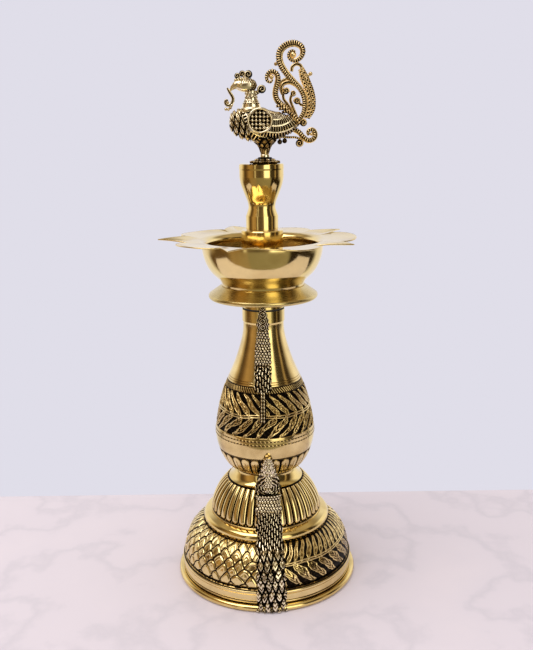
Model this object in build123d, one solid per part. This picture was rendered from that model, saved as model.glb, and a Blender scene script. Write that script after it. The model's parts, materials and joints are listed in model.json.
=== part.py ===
from build123d import *
from math import cos, hypot, radians, sin
import os

# Brass standing oil lamp in four screwed sections: base, stem, oil bowl and peacock finial.
# Millimetres. The origin is the centre of the foot on the floor, +Z is up the lamp's axis and
# the front, where the two long-tailed peacock castings are riveted, faces -Y.

# Driving radii
FOOT_R = 79.6             # outside of the rolled foot ring
BELL_TOP_R = 54.5         # shoulder of the base bell
DOME_R = 48.6             # foot of the fluted dome
DOME_TOP_R = 33.0
CUP_TOP_R = 27.0          # top of the concave cup that carries the stem
STEM_FOOT_R = 24.0
STEM_MAX_R = 43.2         # widest part of the pear-shaped stem
NECK_R = 17.4             # top of the pear's neck
COLLAR_R = 18.1
SAUCER_R = 46.1
BOWL_FOOT_R = 34.8
BOWL_R = 51.0
BOSS_R = 17.4             # hub in the middle of the oil bowl
COLUMN_R = 13.4
GOBLET_R = 18.2
GOBLET_WAIST_R = 11.2

# Driving heights, from the floor up
FOOT_RING_H = 5.2
BELL_H = 44.4
SHOULDER_RING_H = 8.6
DOME_H = 30.8
CUP_H = 9.0
STEM_H = 130.2
COLLAR_H = 11.5
BOWL_FOOT_H = 4.0
SAUCER_H = 14.9
BOWL_H = 37.0
BOSS_RISE = 9.2           # hub above the bowl's rim
COLUMN_H = 11.0
GOBLET_H = 37.0
CAP_H = 5.0
ROSETTE_H = 5.0
PILLAR_H = 11.0

# Walls
BELL_WALL = 3.0
STEM_WALL = 2.6
BOWL_WALL = 2.0
SAUCER_WALL = 2.4
GOBLET_WALL = 2.4
FLANGE_T = 1.6            # flower-shaped flange round the bowl
FLOOR_T = 5.5             # floor of the pear
BOWL_FLOOR_T = 3.0
GOBLET_FLOOR_T = 13.0

# Screwed joints between the sections: every stud turns in the bore under it
STUD_R = 8.0
THREAD_LENGTH = 9.0       # stud in the bore, six turns of 1.5 mm pitch
RUNNING = 0.05            # radial clearance of a stud in its bore
FITTED = 0.05             # radial clearance of a fixed pin, bush or spigot
METAL_WASHER_T = 0.8
RUBBER_WASHER_T = 1.6
STUD_HEAD_R = 13.0
STUD_HEAD_T = 3.5

# Clamping bush, washer and nut inside the base
BUSH_WALL = 4.0
BUSH_LENGTH = 24.0
BUSH_FLANGE_T = 3.0
NUT_RIM = 4.0             # nut between its hole and its flats
NUT_H = 8.0
PLAIN_WASHER_T = 1.5

# Finial fastenings
CLAMP_STUD_R = 6.0        # upper stud of the finial column
CLAMP_NUT_RIM = 2.4
CLAMP_NUT_H = 4.5
CAP_SPIGOT_H = 4.0
SCREW_R = 3.0             # screw that holds the peacock
SCREW_HEAD_T = 3.0
SCREW_GRIP = 8.0          # length of the screw inside the pillar

# Repeats
FLUTES = 42
FLUTE_CUT_R = 1.4
PETALS = 5
FIRST_SPOUT = -107.0      # azimuth of the first wick spout, degrees from +X
SPOUT_REACH = 36.3        # spout tip beyond the bowl's outside
LOBE_REACH = 28.5
NOTCH_REACH = 13.5
SPOUT_HALF_ANGLE = 13.5
WICK_GROOVE_W = 5.0
WICK_GROOVE_D = 1.0
ROSETTE_R = 12.6
ROSETTE_PETALS = 8

# Riveted peacock castings on the front
BASE_BIRD_AZIMUTH = -87.0
BASE_TAIL_W = 22.0
BASE_TAIL_T = 4.0
BASE_BIRD_W = 18.0
BASE_HEAD_W = 8.0
STEM_BIRD_AZIMUTH = -92.0
STEM_TAIL_W = 12.4
STEM_TAIL_T = 2.4
STEM_NECK_W = 8.0
STEM_RIB_W = 4.4
STEM_EYE_R = 1.6          # bead on top of the stem's peacock
TURN_GAP = 0.8            # between a casting and a section that turns past it
RIVET_R = 1.5
RIVET_HEAD_R = 3.0
RIVET_HEAD_T = 1.2

# Peacock finial, head towards -X. Its places are (x, height above the pillar)
PEACOCK_X = 3.0           # the pillar stands this far right of the lamp's axis
PILLAR_TOP_R = 6.6
PILLAR_FOOT_R = 3.9
BODY_AXIS_RISE = 14.2
BODY_R = 13.4
BODY_CHEST_X = -24.6
BODY_RUMP_X = 31.0
NECK_X = -7.2
NECK_R_LOW = 7.8
NECK_R_HIGH = 5.2
HEAD_RISE = 45.4
HEAD_R = 5.6
BEAK_TIP = (-24.2, 42.4)
CREST_LOOPS = [((-15.6, 52.6), 2.2), ((-10.4, 53.2), 2.8)]
NAPE_CURL = (1.7, 42.2)
WING_R = 10.4
WING_PLACE = (-0.5, 17.8)
WING_OUT = 14.4           # outer face of each wing disc from the middle plane
WING_IN = 9.5
SCROLL_T = 5.0            # thickness of the ribbed scrolls, side to side
FINE_SCROLL_T = 3.4

# Heights of the stacked faces
Z_BELL = FOOT_RING_H
Z_SHOULDER = Z_BELL + BELL_H
Z_DOME = Z_SHOULDER + SHOULDER_RING_H
Z_CUP = Z_DOME + DOME_H
Z_BASE_TOP = Z_CUP + CUP_H
Z_STEM = Z_BASE_TOP + METAL_WASHER_T
Z_COLLAR = Z_STEM + STEM_H
Z_STEM_TOP = Z_COLLAR + COLLAR_H
Z_BOWL_FOOT = Z_STEM_TOP + RUBBER_WASHER_T
Z_SAUCER = Z_BOWL_FOOT + BOWL_FOOT_H
Z_BOWL = Z_SAUCER + SAUCER_H
Z_FLANGE = Z_BOWL + BOWL_H
Z_BOWL_TOP = Z_FLANGE + BOSS_RISE
Z_COLUMN = Z_BOWL_TOP + METAL_WASHER_T
Z_GOBLET = Z_COLUMN + COLUMN_H
Z_CAP = Z_GOBLET + GOBLET_H
Z_ROSETTE = Z_CAP + CAP_H
Z_PILLAR = Z_ROSETTE + ROSETTE_H
Z_PEACOCK = Z_PILLAR + PILLAR_H

# Radii that follow from the fits
BORE_R = STUD_R + RUNNING
SPIGOT_HOLE_R = STUD_R + FITTED
WASHER_HOLE_R = STUD_R + 0.6
BUSH_R = STUD_R + BUSH_WALL
BUSH_HOLE_R = BUSH_R + FITTED
BUSH_FLANGE_R = BUSH_R + 5.0
BAND_R = FOOT_R - 4.1     # plain band at the foot of the bell
BELL_HOLE_R = DOME_R - 4.5


def xy(point):
    return (point.X, point.Y)


def turned(*outline):
    """Solid turned about Z from a closed outline of points (r, z) and curves drawn in (r, z)."""
    ends = [(p, p) if isinstance(p, tuple) else (xy(p @ 0), xy(p @ 1)) for p in outline]
    edges = [item for item in outline if not isinstance(item, tuple)]
    for (_, here), (there, _) in zip(ends, ends[1:] + ends[:1]):
        if hypot(here[0] - there[0], here[1] - there[1]) > 1e-6:
            edges.append(Line(here, there))
    return revolve(Plane.XZ * make_face(Curve() + edges), axis=Axis.Z)


def ring(r_in, r_out, z0, z1):
    """Flat ring or tube between two heights."""
    return turned((r_in, z0), (r_out, z0), (r_out, z1), (r_in, z1))


def rod(r, z0, z1, x=0.0):
    """Upright round bar."""
    return Pos(x, 0, z0) * Cylinder(r, z1 - z0, align=(Align.CENTER, Align.CENTER, Align.MIN))


def hex_nut(hole_r, rim, z0, z1):
    """Hexagon nut on the axis, its flats the rim's width outside its hole."""
    flats = RegularPolygon(hole_r + rim, 6, major_radius=False)
    return Pos(0, 0, z0) * extrude(flats, z1 - z0) - rod(hole_r, z0, z1)


def inward(points, wall):
    """Outline points moved in by the wall along their normals, or out by a negative wall."""
    inner = []
    for i, (r, z) in enumerate(points):
        r0, z0 = points[max(i - 1, 0)]
        r1, z1 = points[min(i + 1, len(points) - 1)]
        run = hypot(r1 - r0, z1 - z0)
        inner.append((r - wall * (z1 - z0) / run, z + wall * (r1 - r0) / run))
    return inner


def between(low, high, shares):
    """Outline points from low to high, each given as its share of the way in r and in z."""
    return [(low[0] + (high[0] - low[0]) * u, low[1] + (high[1] - low[1]) * v) for u, v in shares]


# Outlines of the base, from the floor up


def foot_bead():
    inset = FOOT_R - 2.0
    return ThreePointArc((inset, 0), (FOOT_R, FOOT_RING_H / 2), (inset, FOOT_RING_H))


def bell_points():
    """Swelling face of the bell that carries the relief."""
    shares = [(0, 0), (0.03, 0.2), (0.115, 0.42), (0.28, 0.64), (0.54, 0.83), (1, 1)]
    return between((BAND_R - 1.5, Z_BELL + 12.3), (BELL_TOP_R, Z_SHOULDER), shares)


def bell_lip():
    return ThreePointArc((BAND_R, Z_BELL + 8.6), (BAND_R + 0.5, Z_BELL + 10.4), bell_points()[0])


def shoulder_bead():
    bulge = (BELL_TOP_R + 1.4, Z_SHOULDER + 0.47 * SHOULDER_RING_H)
    return ThreePointArc((BELL_TOP_R, Z_SHOULDER), bulge, (BELL_TOP_R - 1.0, Z_DOME - 1.2))


def dome_points():
    foot = (DOME_R, Z_DOME + 2.0)
    return between(foot, (DOME_TOP_R, Z_CUP), [(0, 0), (0.33, 0.55), (1, 1)])


def cup_arc():
    waist = (CUP_TOP_R + 0.28 * (DOME_TOP_R - CUP_TOP_R), Z_CUP + 0.42 * CUP_H)
    return ThreePointArc((DOME_TOP_R - 0.4, Z_CUP), waist, (CUP_TOP_R, Z_BASE_TOP))


def base_envelope():
    """The whole base as one filled solid, used to fit the front castings against it."""
    return turned(
        (0, 0), foot_bead(), (BAND_R, Z_BELL), bell_lip(), Spline(*bell_points()), shoulder_bead(),
        (DOME_R + 0.8, Z_DOME), (DOME_R, Z_DOME), ThreePointArc(*dome_points()), cup_arc(),
        (0, Z_BASE_TOP),
    )


def pear_points():
    """Outline of the stem from its foot through the belly to the neck."""
    belly = (STEM_MAX_R, Z_STEM + 0.235 * STEM_H)
    lower = between((STEM_FOOT_R, Z_STEM), belly, [(0, 0), (0.34, 0.07), (0.76, 0.43)])
    upper = [(0, 0), (0.08, 0.19), (0.37, 0.46), (0.64, 0.62), (0.87, 0.79), (0.99, 0.93), (1, 1)]
    return lower + between(belly, (NECK_R, Z_COLLAR), upper)


def bowl_points():
    """Outside of the oil bowl from its foot to the rim."""
    shares = [(0, 0), (0.05, 0.09), (0.45, 0.28), (0.73, 0.46), (0.9, 0.66), (0.98, 0.86), (1, 1)]
    return between((BOWL_FOOT_R, Z_BOWL), (BOWL_R, Z_FLANGE), shares)


def goblet_points():
    """Outside of the goblet from its narrow waist to the lip."""
    waist, lip = (GOBLET_WAIST_R, Z_GOBLET + 6.0), (GOBLET_R, Z_CAP - 5.5)
    shares = [(0, 0), (0.04, 0.16), (0.3, 0.36), (0.64, 0.6), (0.9, 0.83), (1, 1)]
    return between(waist, lip, shares)


# Base section


def foot_ring():
    inner = BAND_R - BELL_WALL - 2.0
    return turned((inner, 0), foot_bead(), (inner, FOOT_RING_H))


def base_bell():
    swell = bell_points()
    hollow = inward(swell, BELL_WALL)
    hollow[-1] = (BELL_TOP_R - 1.5, Z_SHOULDER - BELL_WALL)
    shell = turned(
        (BAND_R - BELL_WALL, Z_BELL), (BAND_R, Z_BELL), bell_lip(), Spline(*swell),
        (BELL_HOLE_R, Z_SHOULDER), (BELL_HOLE_R, Z_SHOULDER - BELL_WALL), Spline(*reversed(hollow)),
    )
    return shell - rivet_pin(RIVET_R + FITTED)


def shoulder_ring():
    inner = BELL_HOLE_R + 0.5
    return turned((inner, Z_SHOULDER), shoulder_bead(), (DOME_R + 0.8, Z_DOME), (inner, Z_DOME))


def flute_cuts():
    """Bars bent along the dome's meridian, one between each two ribs."""
    path = Plane.XZ * ThreePointArc(*inward(dome_points(), -0.5 * FLUTE_CUT_R))
    bar = sweep(Plane(path @ 0, z_dir=path % 0) * Circle(FLUTE_CUT_R), path=path)
    return [Rot(0, 0, 360 * i / FLUTES) * bar for i in range(FLUTES)]


def fluted_dome():
    arc = dome_points()
    hollow = inward(arc, BELL_WALL)
    shell = turned(
        (hollow[0][0], Z_DOME), (DOME_R, Z_DOME), ThreePointArc(*arc),
        (BUSH_HOLE_R, Z_CUP), (BUSH_HOLE_R, Z_CUP - BELL_WALL), ThreePointArc(*reversed(hollow)),
    )
    return shell - flute_cuts()


def base_cup():
    seat = Z_BASE_TOP - BUSH_FLANGE_T
    return turned(
        (BUSH_HOLE_R, Z_CUP), cup_arc(), (BUSH_FLANGE_R + FITTED, Z_BASE_TOP),
        (BUSH_FLANGE_R + FITTED, seat), (BUSH_HOLE_R, seat),
    )


def base_bush():
    """Flanged bush with the bore that takes the stem's stud."""
    shank = ring(BORE_R, BUSH_R, Z_BASE_TOP - BUSH_LENGTH, Z_BASE_TOP)
    return shank + ring(BORE_R, BUSH_FLANGE_R, Z_BASE_TOP - BUSH_FLANGE_T, Z_BASE_TOP)


def base_washer():
    top = Z_CUP - BELL_WALL
    return ring(BUSH_HOLE_R, BUSH_FLANGE_R + 2.0, top - PLAIN_WASHER_T, top)


def base_nut():
    top = Z_CUP - BELL_WALL - PLAIN_WASHER_T
    return hex_nut(BUSH_HOLE_R, NUT_RIM, top - NUT_H, top)


# Peacock castings riveted to the front


def front_slab(width, z0, z1, azimuth, reach):
    """Block in front of the axis that cuts a strip of constant width out of a turned band."""
    block = Box(reach, width, z1 - z0, align=(Align.MIN, Align.CENTER, Align.MIN))
    return Rot(0, 0, azimuth) * (Pos(0, 0, z0) * block)


def rivet_pin(radius):
    """Pin through the tail casting and the bell's plain band."""
    pin = Cylinder(radius, BELL_WALL + 4.0, align=(Align.CENTER, Align.CENTER, Align.MIN))
    place = Pos(BAND_R - BELL_WALL - 1.0, 0, Z_BELL + 4.4) * Rot(0, 90, 0)
    return Rot(0, 0, BASE_BIRD_AZIMUTH) * (place * pin)


def base_rivet():
    head = Cylinder(RIVET_HEAD_R, RIVET_HEAD_T, align=(Align.CENTER, Align.CENTER, Align.MIN))
    place = Pos(BAND_R - BELL_WALL - 1.0 - RIVET_HEAD_T, 0, Z_BELL + 4.4) * Rot(0, 90, 0)
    return rivet_pin(RIVET_R) + Rot(0, 0, BASE_BIRD_AZIMUTH) * (place * head)


def base_tail():
    """Long tail from the top of the dome down over the shoulder and bell to the foot ring."""
    swell = inward(bell_points()[:-1], -BASE_TAIL_T)
    swell[0] = (BAND_R + BASE_TAIL_T - 0.2, Z_BELL + 10.0)
    dome = inward(dome_points(), -BASE_TAIL_T)
    shoulder = (BELL_TOP_R + BASE_TAIL_T, Z_SHOULDER + 5.0)
    front = Spline(
        (FOOT_R + 2.0, 2.0), swell[0], *swell[1:], shoulder, (DOME_R + BASE_TAIL_T + 1.0, Z_DOME + 6.0),
        dome[1], (DOME_TOP_R + BASE_TAIL_T + 1.0, Z_CUP - 2.0),
    )
    band = turned((0, 1.0), (FOOT_R + 1.4, 1.0), front, (0, Z_CUP - 2.0))
    strip = band & front_slab(BASE_TAIL_W, 0, Z_CUP, BASE_BIRD_AZIMUTH, FOOT_R + 20)
    return strip - base_envelope() - rivet_pin(RIVET_R + FITTED)


def base_bird():
    """Body of the base's peacock, leaning out in front of the cup, with its head by the pear."""
    clear = inward(pear_points()[1:4], -TURN_GAP)
    chest_r = DOME_TOP_R + 14.0
    shoulder_r = STEM_MAX_R + 6.0
    nape_r = STEM_MAX_R + TURN_GAP
    z_nape = Z_STEM + 11.0
    z_crown = Z_STEM + 23.6
    body = turned(
        (0, Z_CUP - 2.0), (DOME_TOP_R + BASE_TAIL_T + 1.0, Z_CUP - 2.0), (chest_r, Z_CUP + 3.0),
        (shoulder_r, Z_STEM + 4.0), (shoulder_r - 1.0, z_nape), (0, z_nape),
    )
    head = turned(
        (nape_r - 3.0, z_nape), (shoulder_r - 1.0, z_nape), (shoulder_r - 1.4, z_crown), (nape_r, z_crown),
    )
    pear_room = turned((0, Z_STEM - 4.0), (clear[0][0], Z_STEM - 4.0), Spline(*clear), (0, clear[-1][1]))
    reach = FOOT_R
    strip = body & front_slab(BASE_BIRD_W, Z_CUP - 4.0, z_nape, BASE_BIRD_AZIMUTH, reach)
    strip += head & front_slab(BASE_HEAD_W, z_nape, z_crown, BASE_BIRD_AZIMUTH, reach)
    washer_room = rod(CUP_TOP_R + TURN_GAP, Z_BASE_TOP - 1.0, Z_STEM + 2.0)
    return strip - base_envelope() - pear_room - washer_room


# Stem section


def stem_washer():
    return ring(WASHER_HOLE_R, STEM_FOOT_R - 0.5, Z_BASE_TOP, Z_STEM)


def stem_pear():
    outline = pear_points()
    solid = turned((0, Z_STEM), Spline(*outline), (0, Z_COLLAR))
    hollow = [p for p in inward(outline, STEM_WALL) if p[1] > Z_STEM + FLOOR_T + 1.0]
    hollow[-1] = (NECK_R - STEM_WALL, Z_COLLAR)
    floor_edge = between(outline[1], outline[2], [(0.2094, 0)])[0][0]
    room = turned((0, Z_STEM + FLOOR_T), (floor_edge, Z_STEM + FLOOR_T), Spline(*hollow), (0, Z_COLLAR))
    return solid - room - rod(SPIGOT_HOLE_R, Z_STEM, Z_STEM + FLOOR_T)


def stem_stud():
    """Stud under the pear, held by its head on the pear's floor."""
    floor = Z_STEM + FLOOR_T
    shank = rod(STUD_R, Z_BASE_TOP - THREAD_LENGTH, floor)
    return shank + rod(STUD_HEAD_R, floor, floor + STUD_HEAD_T)


def stem_collar():
    """Turned collar with a spigot in the neck and the bore for the bowl's stud."""
    spigot_r = NECK_R - STEM_WALL - FITTED
    return turned(
        (BORE_R, Z_COLLAR - 6.0), (spigot_r, Z_COLLAR - 6.0), (spigot_r, Z_COLLAR), (NECK_R, Z_COLLAR),
        (COLLAR_R, Z_COLLAR + 1.6), (COLLAR_R, Z_STEM_TOP), (BORE_R, Z_STEM_TOP),
    )


def stem_envelope():
    """Pear and collar as one filled solid."""
    return turned(
        (0, Z_STEM), Spline(*pear_points()), (COLLAR_R, Z_COLLAR + 1.6), (COLLAR_R, Z_STEM_TOP),
        (0, Z_STEM_TOP),
    )


def stem_tail():
    """Hanging tail, square at its end, and the beaded rib below it."""
    outline = [p for p in pear_points() if p[1] > Z_STEM + 0.3 * STEM_H]
    front = inward(outline, -STEM_TAIL_T)
    top = Z_COLLAR - 4.0
    front[-1] = (NECK_R + STEM_TAIL_T + 0.4, top)
    band = turned((0, front[0][1]), Spline(*front), (0, top))
    z_end = Z_STEM + 0.595 * STEM_H
    reach = STEM_MAX_R + 20
    strip = band & front_slab(STEM_TAIL_W, z_end, top, STEM_BIRD_AZIMUTH, reach)
    z_rib = Z_STEM + 0.41 * STEM_H
    strip += band & front_slab(STEM_RIB_W, z_rib, z_end, STEM_BIRD_AZIMUTH, reach)
    return strip - stem_envelope()


def stem_bird():
    """Peacock on the collar, with the eye bead of its crest above the collar's top."""
    low, high = Z_COLLAR - 4.0, Z_STEM_TOP + 1.0
    face_r = COLLAR_R + STEM_TAIL_T
    band = turned(
        (0, low), (NECK_R + STEM_TAIL_T + 0.4, low), (face_r + 0.6, Z_COLLAR + 3.0), (face_r, high), (0, high),
    )
    strip = band & front_slab(STEM_NECK_W, low, high, STEM_BIRD_AZIMUTH, STEM_MAX_R)
    eye = Rot(0, 0, STEM_BIRD_AZIMUTH) * (Pos(face_r - 0.2, 0, high + 1.4) * Rot(0, 90, 0) * Torus(STEM_EYE_R, 0.7))
    bowl_room = rod(COLLAR_R + TURN_GAP, Z_STEM_TOP - 0.5, high + 6.0)
    return strip + eye - stem_envelope() - bowl_room


# Oil bowl section


def bowl_washer():
    return ring(WASHER_HOLE_R, COLLAR_R - 0.5, Z_STEM_TOP, Z_BOWL_FOOT)


def bowl_foot():
    """Turned foot with the stud below and the long spigot that ties saucer, bowl and hub."""
    disc = rod(COLLAR_R - 0.3, Z_BOWL_FOOT, Z_SAUCER)
    stud = rod(STUD_R, Z_STEM_TOP - THREAD_LENGTH, Z_BOWL_FOOT)
    return disc + stud + rod(STUD_R, Z_SAUCER, Z_BOWL + BOWL_FLOOR_T + 8.0)


def drip_saucer():
    """Flared dish under the bowl, open at the top where the bowl closes it."""
    rim_low, rim_high = (SAUCER_R - 2.1, Z_SAUCER + 3.9), (SAUCER_R - 0.7, Z_SAUCER + 7.9)
    rim = ThreePointArc(rim_low, (SAUCER_R, Z_SAUCER + 6.2), rim_high)
    throat = BOWL_FOOT_R + 0.5
    return turned(
        (SPIGOT_HOLE_R, Z_SAUCER), (COLLAR_R, Z_SAUCER), rim, (throat, Z_BOWL), (throat - SAUCER_WALL, Z_BOWL),
        (SAUCER_R - 4.2, Z_SAUCER + 6.6), (COLLAR_R, Z_SAUCER + SAUCER_WALL),
        (SPIGOT_HOLE_R, Z_SAUCER + SAUCER_WALL),
    )


def flange_outline():
    """Edge of the flower flange: rounded lobes with a pointed wick spout between each two."""
    tip, lobe, notch = BOWL_R + SPOUT_REACH, BOWL_R + LOBE_REACH, BOWL_R + NOTCH_REACH
    pitch = 360 / PETALS

    def at(radius, azimuth):
        return (radius * cos(radians(azimuth)), radius * sin(radians(azimuth)))

    edges = []
    for i in range(PETALS):
        spout = FIRST_SPOUT + i * pitch
        leaf = [at(notch, spout - SPOUT_HALF_ANGLE), at(tip, spout), at(notch, spout + SPOUT_HALF_ANGLE)]
        middle = spout + pitch / 2
        side = pitch / 2 - SPOUT_HALF_ANGLE
        edges += [Line(leaf[0], leaf[1]), Line(leaf[1], leaf[2])]
        edges.append(Spline(
            leaf[2], at(lobe - 3.0, middle - 0.66 * side), at(lobe, middle),
            at(lobe - 3.0, middle + 0.66 * side), at(notch, middle + side),
        ))
    return make_face(Curve() + edges)


def wick_groove(azimuth):
    """V cut along a spout, in which the wick lies."""
    half = WICK_GROOVE_W / 2
    cut = make_face(Polyline((-half, 0), (half, 0), (0, -WICK_GROOVE_D), close=True))
    bar = extrude(Plane.YZ * cut, SPOUT_REACH + BOWL_WALL + 2.0)
    return Rot(0, 0, azimuth) * (Pos(BOWL_R - BOWL_WALL - 1.0, 0, Z_FLANGE + FLANGE_T) * bar)


def oil_bowl():
    outline = bowl_points()
    hollow = [p for p in inward(outline, BOWL_WALL) if p[1] > Z_BOWL + BOWL_FLOOR_T]
    hollow[-1] = (BOWL_R - BOWL_WALL, Z_FLANGE)
    floor = Z_BOWL + BOWL_FLOOR_T
    shell = turned(
        (SPIGOT_HOLE_R, Z_BOWL), Spline(*outline), Spline(*reversed(hollow)),
        (BOWL_FOOT_R - BOWL_WALL, floor), (SPIGOT_HOLE_R, floor),
    )
    flange = Pos(0, 0, Z_FLANGE) * extrude(flange_outline(), FLANGE_T)
    flange -= rod(BOWL_R - BOWL_WALL, Z_FLANGE, Z_FLANGE + FLANGE_T)
    grooves = [wick_groove(FIRST_SPOUT + 360 * i / PETALS) for i in range(PETALS)]
    return shell + flange - grooves


def bowl_hub():
    """Hub that screws on the foot's spigot and takes the finial's stud."""
    return turned(
        (BORE_R, Z_BOWL + BOWL_FLOOR_T), (BOSS_R, Z_BOWL + BOWL_FLOOR_T), (BOSS_R, Z_BOWL_TOP - 0.8),
        (BOSS_R - 0.8, Z_BOWL_TOP), (BORE_R, Z_BOWL_TOP),
    )


# Finial section


def finial_washer():
    return ring(WASHER_HOLE_R, COLUMN_R - 0.4, Z_BOWL_TOP, Z_COLUMN)


def finial_column():
    """Short column with the stud below and the clamping stud above."""
    body = rod(COLUMN_R, Z_COLUMN, Z_GOBLET)
    body += rod(STUD_R, Z_BOWL_TOP - THREAD_LENGTH, Z_COLUMN)
    return body + rod(CLAMP_STUD_R, Z_GOBLET, Z_GOBLET + GOBLET_FLOOR_T + CLAMP_NUT_H + 1.0)


def finial_nut():
    floor = Z_GOBLET + GOBLET_FLOOR_T
    return hex_nut(CLAMP_STUD_R + FITTED, CLAMP_NUT_RIM, floor, floor + CLAMP_NUT_H)


def finial_goblet():
    outline = goblet_points()
    floor = Z_GOBLET + GOBLET_FLOOR_T
    foot = ThreePointArc((COLUMN_R - 0.2, Z_GOBLET), (GOBLET_WAIST_R + 0.9, Z_GOBLET + 3.2), outline[0])
    hollow = [p for p in inward(outline, GOBLET_WALL) if p[1] > floor + 1.0]
    mouth = (GOBLET_R - GOBLET_WALL, Z_CAP)
    hole = CLAMP_STUD_R + FITTED
    return turned(
        (hole, Z_GOBLET), foot, Spline(*outline), (GOBLET_R, Z_CAP), mouth, Spline(*reversed(hollow)),
        (hollow[0][0], floor), (hole, floor),
    )


def finial_cap():
    """Lid of the goblet, located by a spigot."""
    lid = turned(
        (0, Z_CAP), (GOBLET_R, Z_CAP), (GOBLET_R + 0.2, Z_CAP + 1.2), (GOBLET_R, Z_ROSETTE - 0.6),
        (GOBLET_R - 0.8, Z_ROSETTE), (0, Z_ROSETTE),
    )
    spigot = rod(GOBLET_R - GOBLET_WALL - 4 * FITTED, Z_CAP - CAP_SPIGOT_H, Z_CAP)
    hole = rod(SCREW_R + FITTED, Z_CAP - CAP_SPIGOT_H, Z_ROSETTE, PEACOCK_X)
    return lid + spigot - hole


def lotus_rosette():
    """Flower on which the peacock stands."""
    petal_r = 0.34 * ROSETTE_R
    spread = ROSETTE_R - petal_r
    flower = rod(spread, Z_ROSETTE, Z_ROSETTE + 2.6, PEACOCK_X)
    for i in range(ROSETTE_PETALS):
        angle = radians(360 * i / ROSETTE_PETALS)
        petal = Pos(spread * sin(angle), spread * cos(angle), 0) * rod(petal_r, Z_ROSETTE, Z_ROSETTE + 2.6)
        flower += Pos(PEACOCK_X, 0, 0) * petal
    flower += rod(0.6 * ROSETTE_R, Z_ROSETTE + 2.6, Z_PILLAR, PEACOCK_X)
    return flower - rod(SCREW_R + FITTED, Z_ROSETTE, Z_PILLAR, PEACOCK_X)


def peacock_pillar():
    """Feathered legs, drawn as one tapering post."""
    post = turned((0, Z_PILLAR), (PILLAR_FOOT_R, Z_PILLAR), (PILLAR_TOP_R, Z_PEACOCK), (0, Z_PEACOCK))
    return Pos(PEACOCK_X, 0, 0) * post - rod(SCREW_R + FITTED, Z_PILLAR, Z_PILLAR + SCREW_GRIP, PEACOCK_X)


def peacock_screw():
    seat = Z_CAP - CAP_SPIGOT_H
    shank = rod(SCREW_R, seat, Z_PILLAR + SCREW_GRIP - 0.5, PEACOCK_X)
    return shank + rod(1.8 * SCREW_R, seat - SCREW_HEAD_T, seat, PEACOCK_X)


def spindle(outline, rise):
    """Solid turned about a line along X at a height above the pillar, from points (r, x)."""
    return Pos(0, 0, Z_PEACOCK + rise) * Rot(0, 90, 0) * turned(Spline(*outline))


def peacock_body():
    outline = [
        (0, BODY_CHEST_X), (0.66 * BODY_R, BODY_CHEST_X + 3.6), (BODY_R, BODY_CHEST_X + 16.0),
        (0.97 * BODY_R, 6.0), (0.62 * BODY_R, 20.0), (0, BODY_RUMP_X),
    ]
    body = spindle(outline, BODY_AXIS_RISE)
    return body - rod(PILLAR_TOP_R + 4.0, Z_PILLAR, Z_PEACOCK, PEACOCK_X)


def peacock_neck():
    outline = [(NECK_R_LOW, 20.0), (NECK_R_LOW - 0.4, 29.0), (NECK_R_HIGH, 35.0), (NECK_R_HIGH, HEAD_RISE - 4.0)]
    points = [(r, Z_PEACOCK + rise) for r, rise in outline]
    neck = turned((0, points[0][1]), Spline(*points), (0, points[-1][1]))
    return Pos(NECK_X, 0, 0) * neck


def peacock_head():
    back, brow = NECK_X + NECK_R_HIGH, BEAK_TIP[0] + 4.4
    skull = scale(Sphere(HEAD_R), by=((back - brow) / (2 * HEAD_R), 0.9, 1.0))
    head = Pos((back + brow) / 2, 0, Z_PEACOCK + HEAD_RISE) * skull
    beak = make_face(Polyline(
        (brow + 4.0, HEAD_RISE + 2.6), BEAK_TIP, (brow + 5.0, HEAD_RISE - 3.6), close=True,
    ))
    return head + Pos(0, 0, Z_PEACOCK) * extrude(Plane.XZ * beak, 1.5, both=True)


def loop(place, radius, wire):
    """Upright ring in the peacock's middle plane."""
    x, rise = place
    return Pos(x, 0, Z_PEACOCK + rise) * Rot(90, 0, 0) * Torus(radius, wire)


def peacock_crest():
    rings = [loop(place, radius, 1.2) for place, radius in CREST_LOOPS]
    return rings[0] + rings[1]


def wing(side):
    """Round wing shield on one side of the body."""
    x, rise = WING_PLACE
    disc = extrude(Plane.XZ * Circle(WING_R), WING_OUT - WING_IN)
    return Pos(x, side * WING_OUT if side > 0 else -WING_IN, Z_PEACOCK + rise) * disc


def scroll(points, half_width, thickness):
    """Flat curling bar in the peacock's middle plane, along points (x, height above the pillar)."""
    one, other = inward(points, half_width), inward(points, -half_width)
    face = make_face(Spline(*one) + Line(one[-1], other[-1]) + Spline(*reversed(other)) + Line(other[0], one[0]))
    return Pos(0, 0, Z_PEACOCK) * extrude(Plane.XZ * face, thickness / 2, both=True)


def ball(place, radius):
    x, rise = place
    return Pos(x, 0, Z_PEACOCK + rise) * Sphere(radius)


def tail_tall_plume():
    stem = scroll([
        (28.0, 64.6), (33.4, 67.4), (33.8, 73.0), (30.3, 76.8), (25.1, 77.8), (19.2, 75.2), (15.8, 69.6),
        (16.0, 63.2), (18.6, 57.0), (23.8, 50.4), (30.0, 45.0), (34.0, 39.0), (35.6, 32.6), (35.2, 26.0),
        (31.6, 19.6),
    ], 2.3, SCROLL_T)
    return stem + ball((26.0, 68.4), 3.2)


def tail_short_plume():
    stem = scroll([
        (5.0, 48.4), (5.2, 53.2), (9.8, 55.8), (14.0, 53.0), (14.0, 48.0), (12.6, 43.6), (11.8, 38.0),
        (14.0, 32.4), (19.0, 28.0), (25.0, 22.4),
    ], 2.2, SCROLL_T)
    return stem + ball((9.0, 50.0), 2.8)


def tail_crook():
    return scroll([(16.4, 38.6), (17.0, 43.6), (21.2, 46.4), (26.6, 45.4), (31.4, 41.4)], 1.4, FINE_SCROLL_T)


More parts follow.
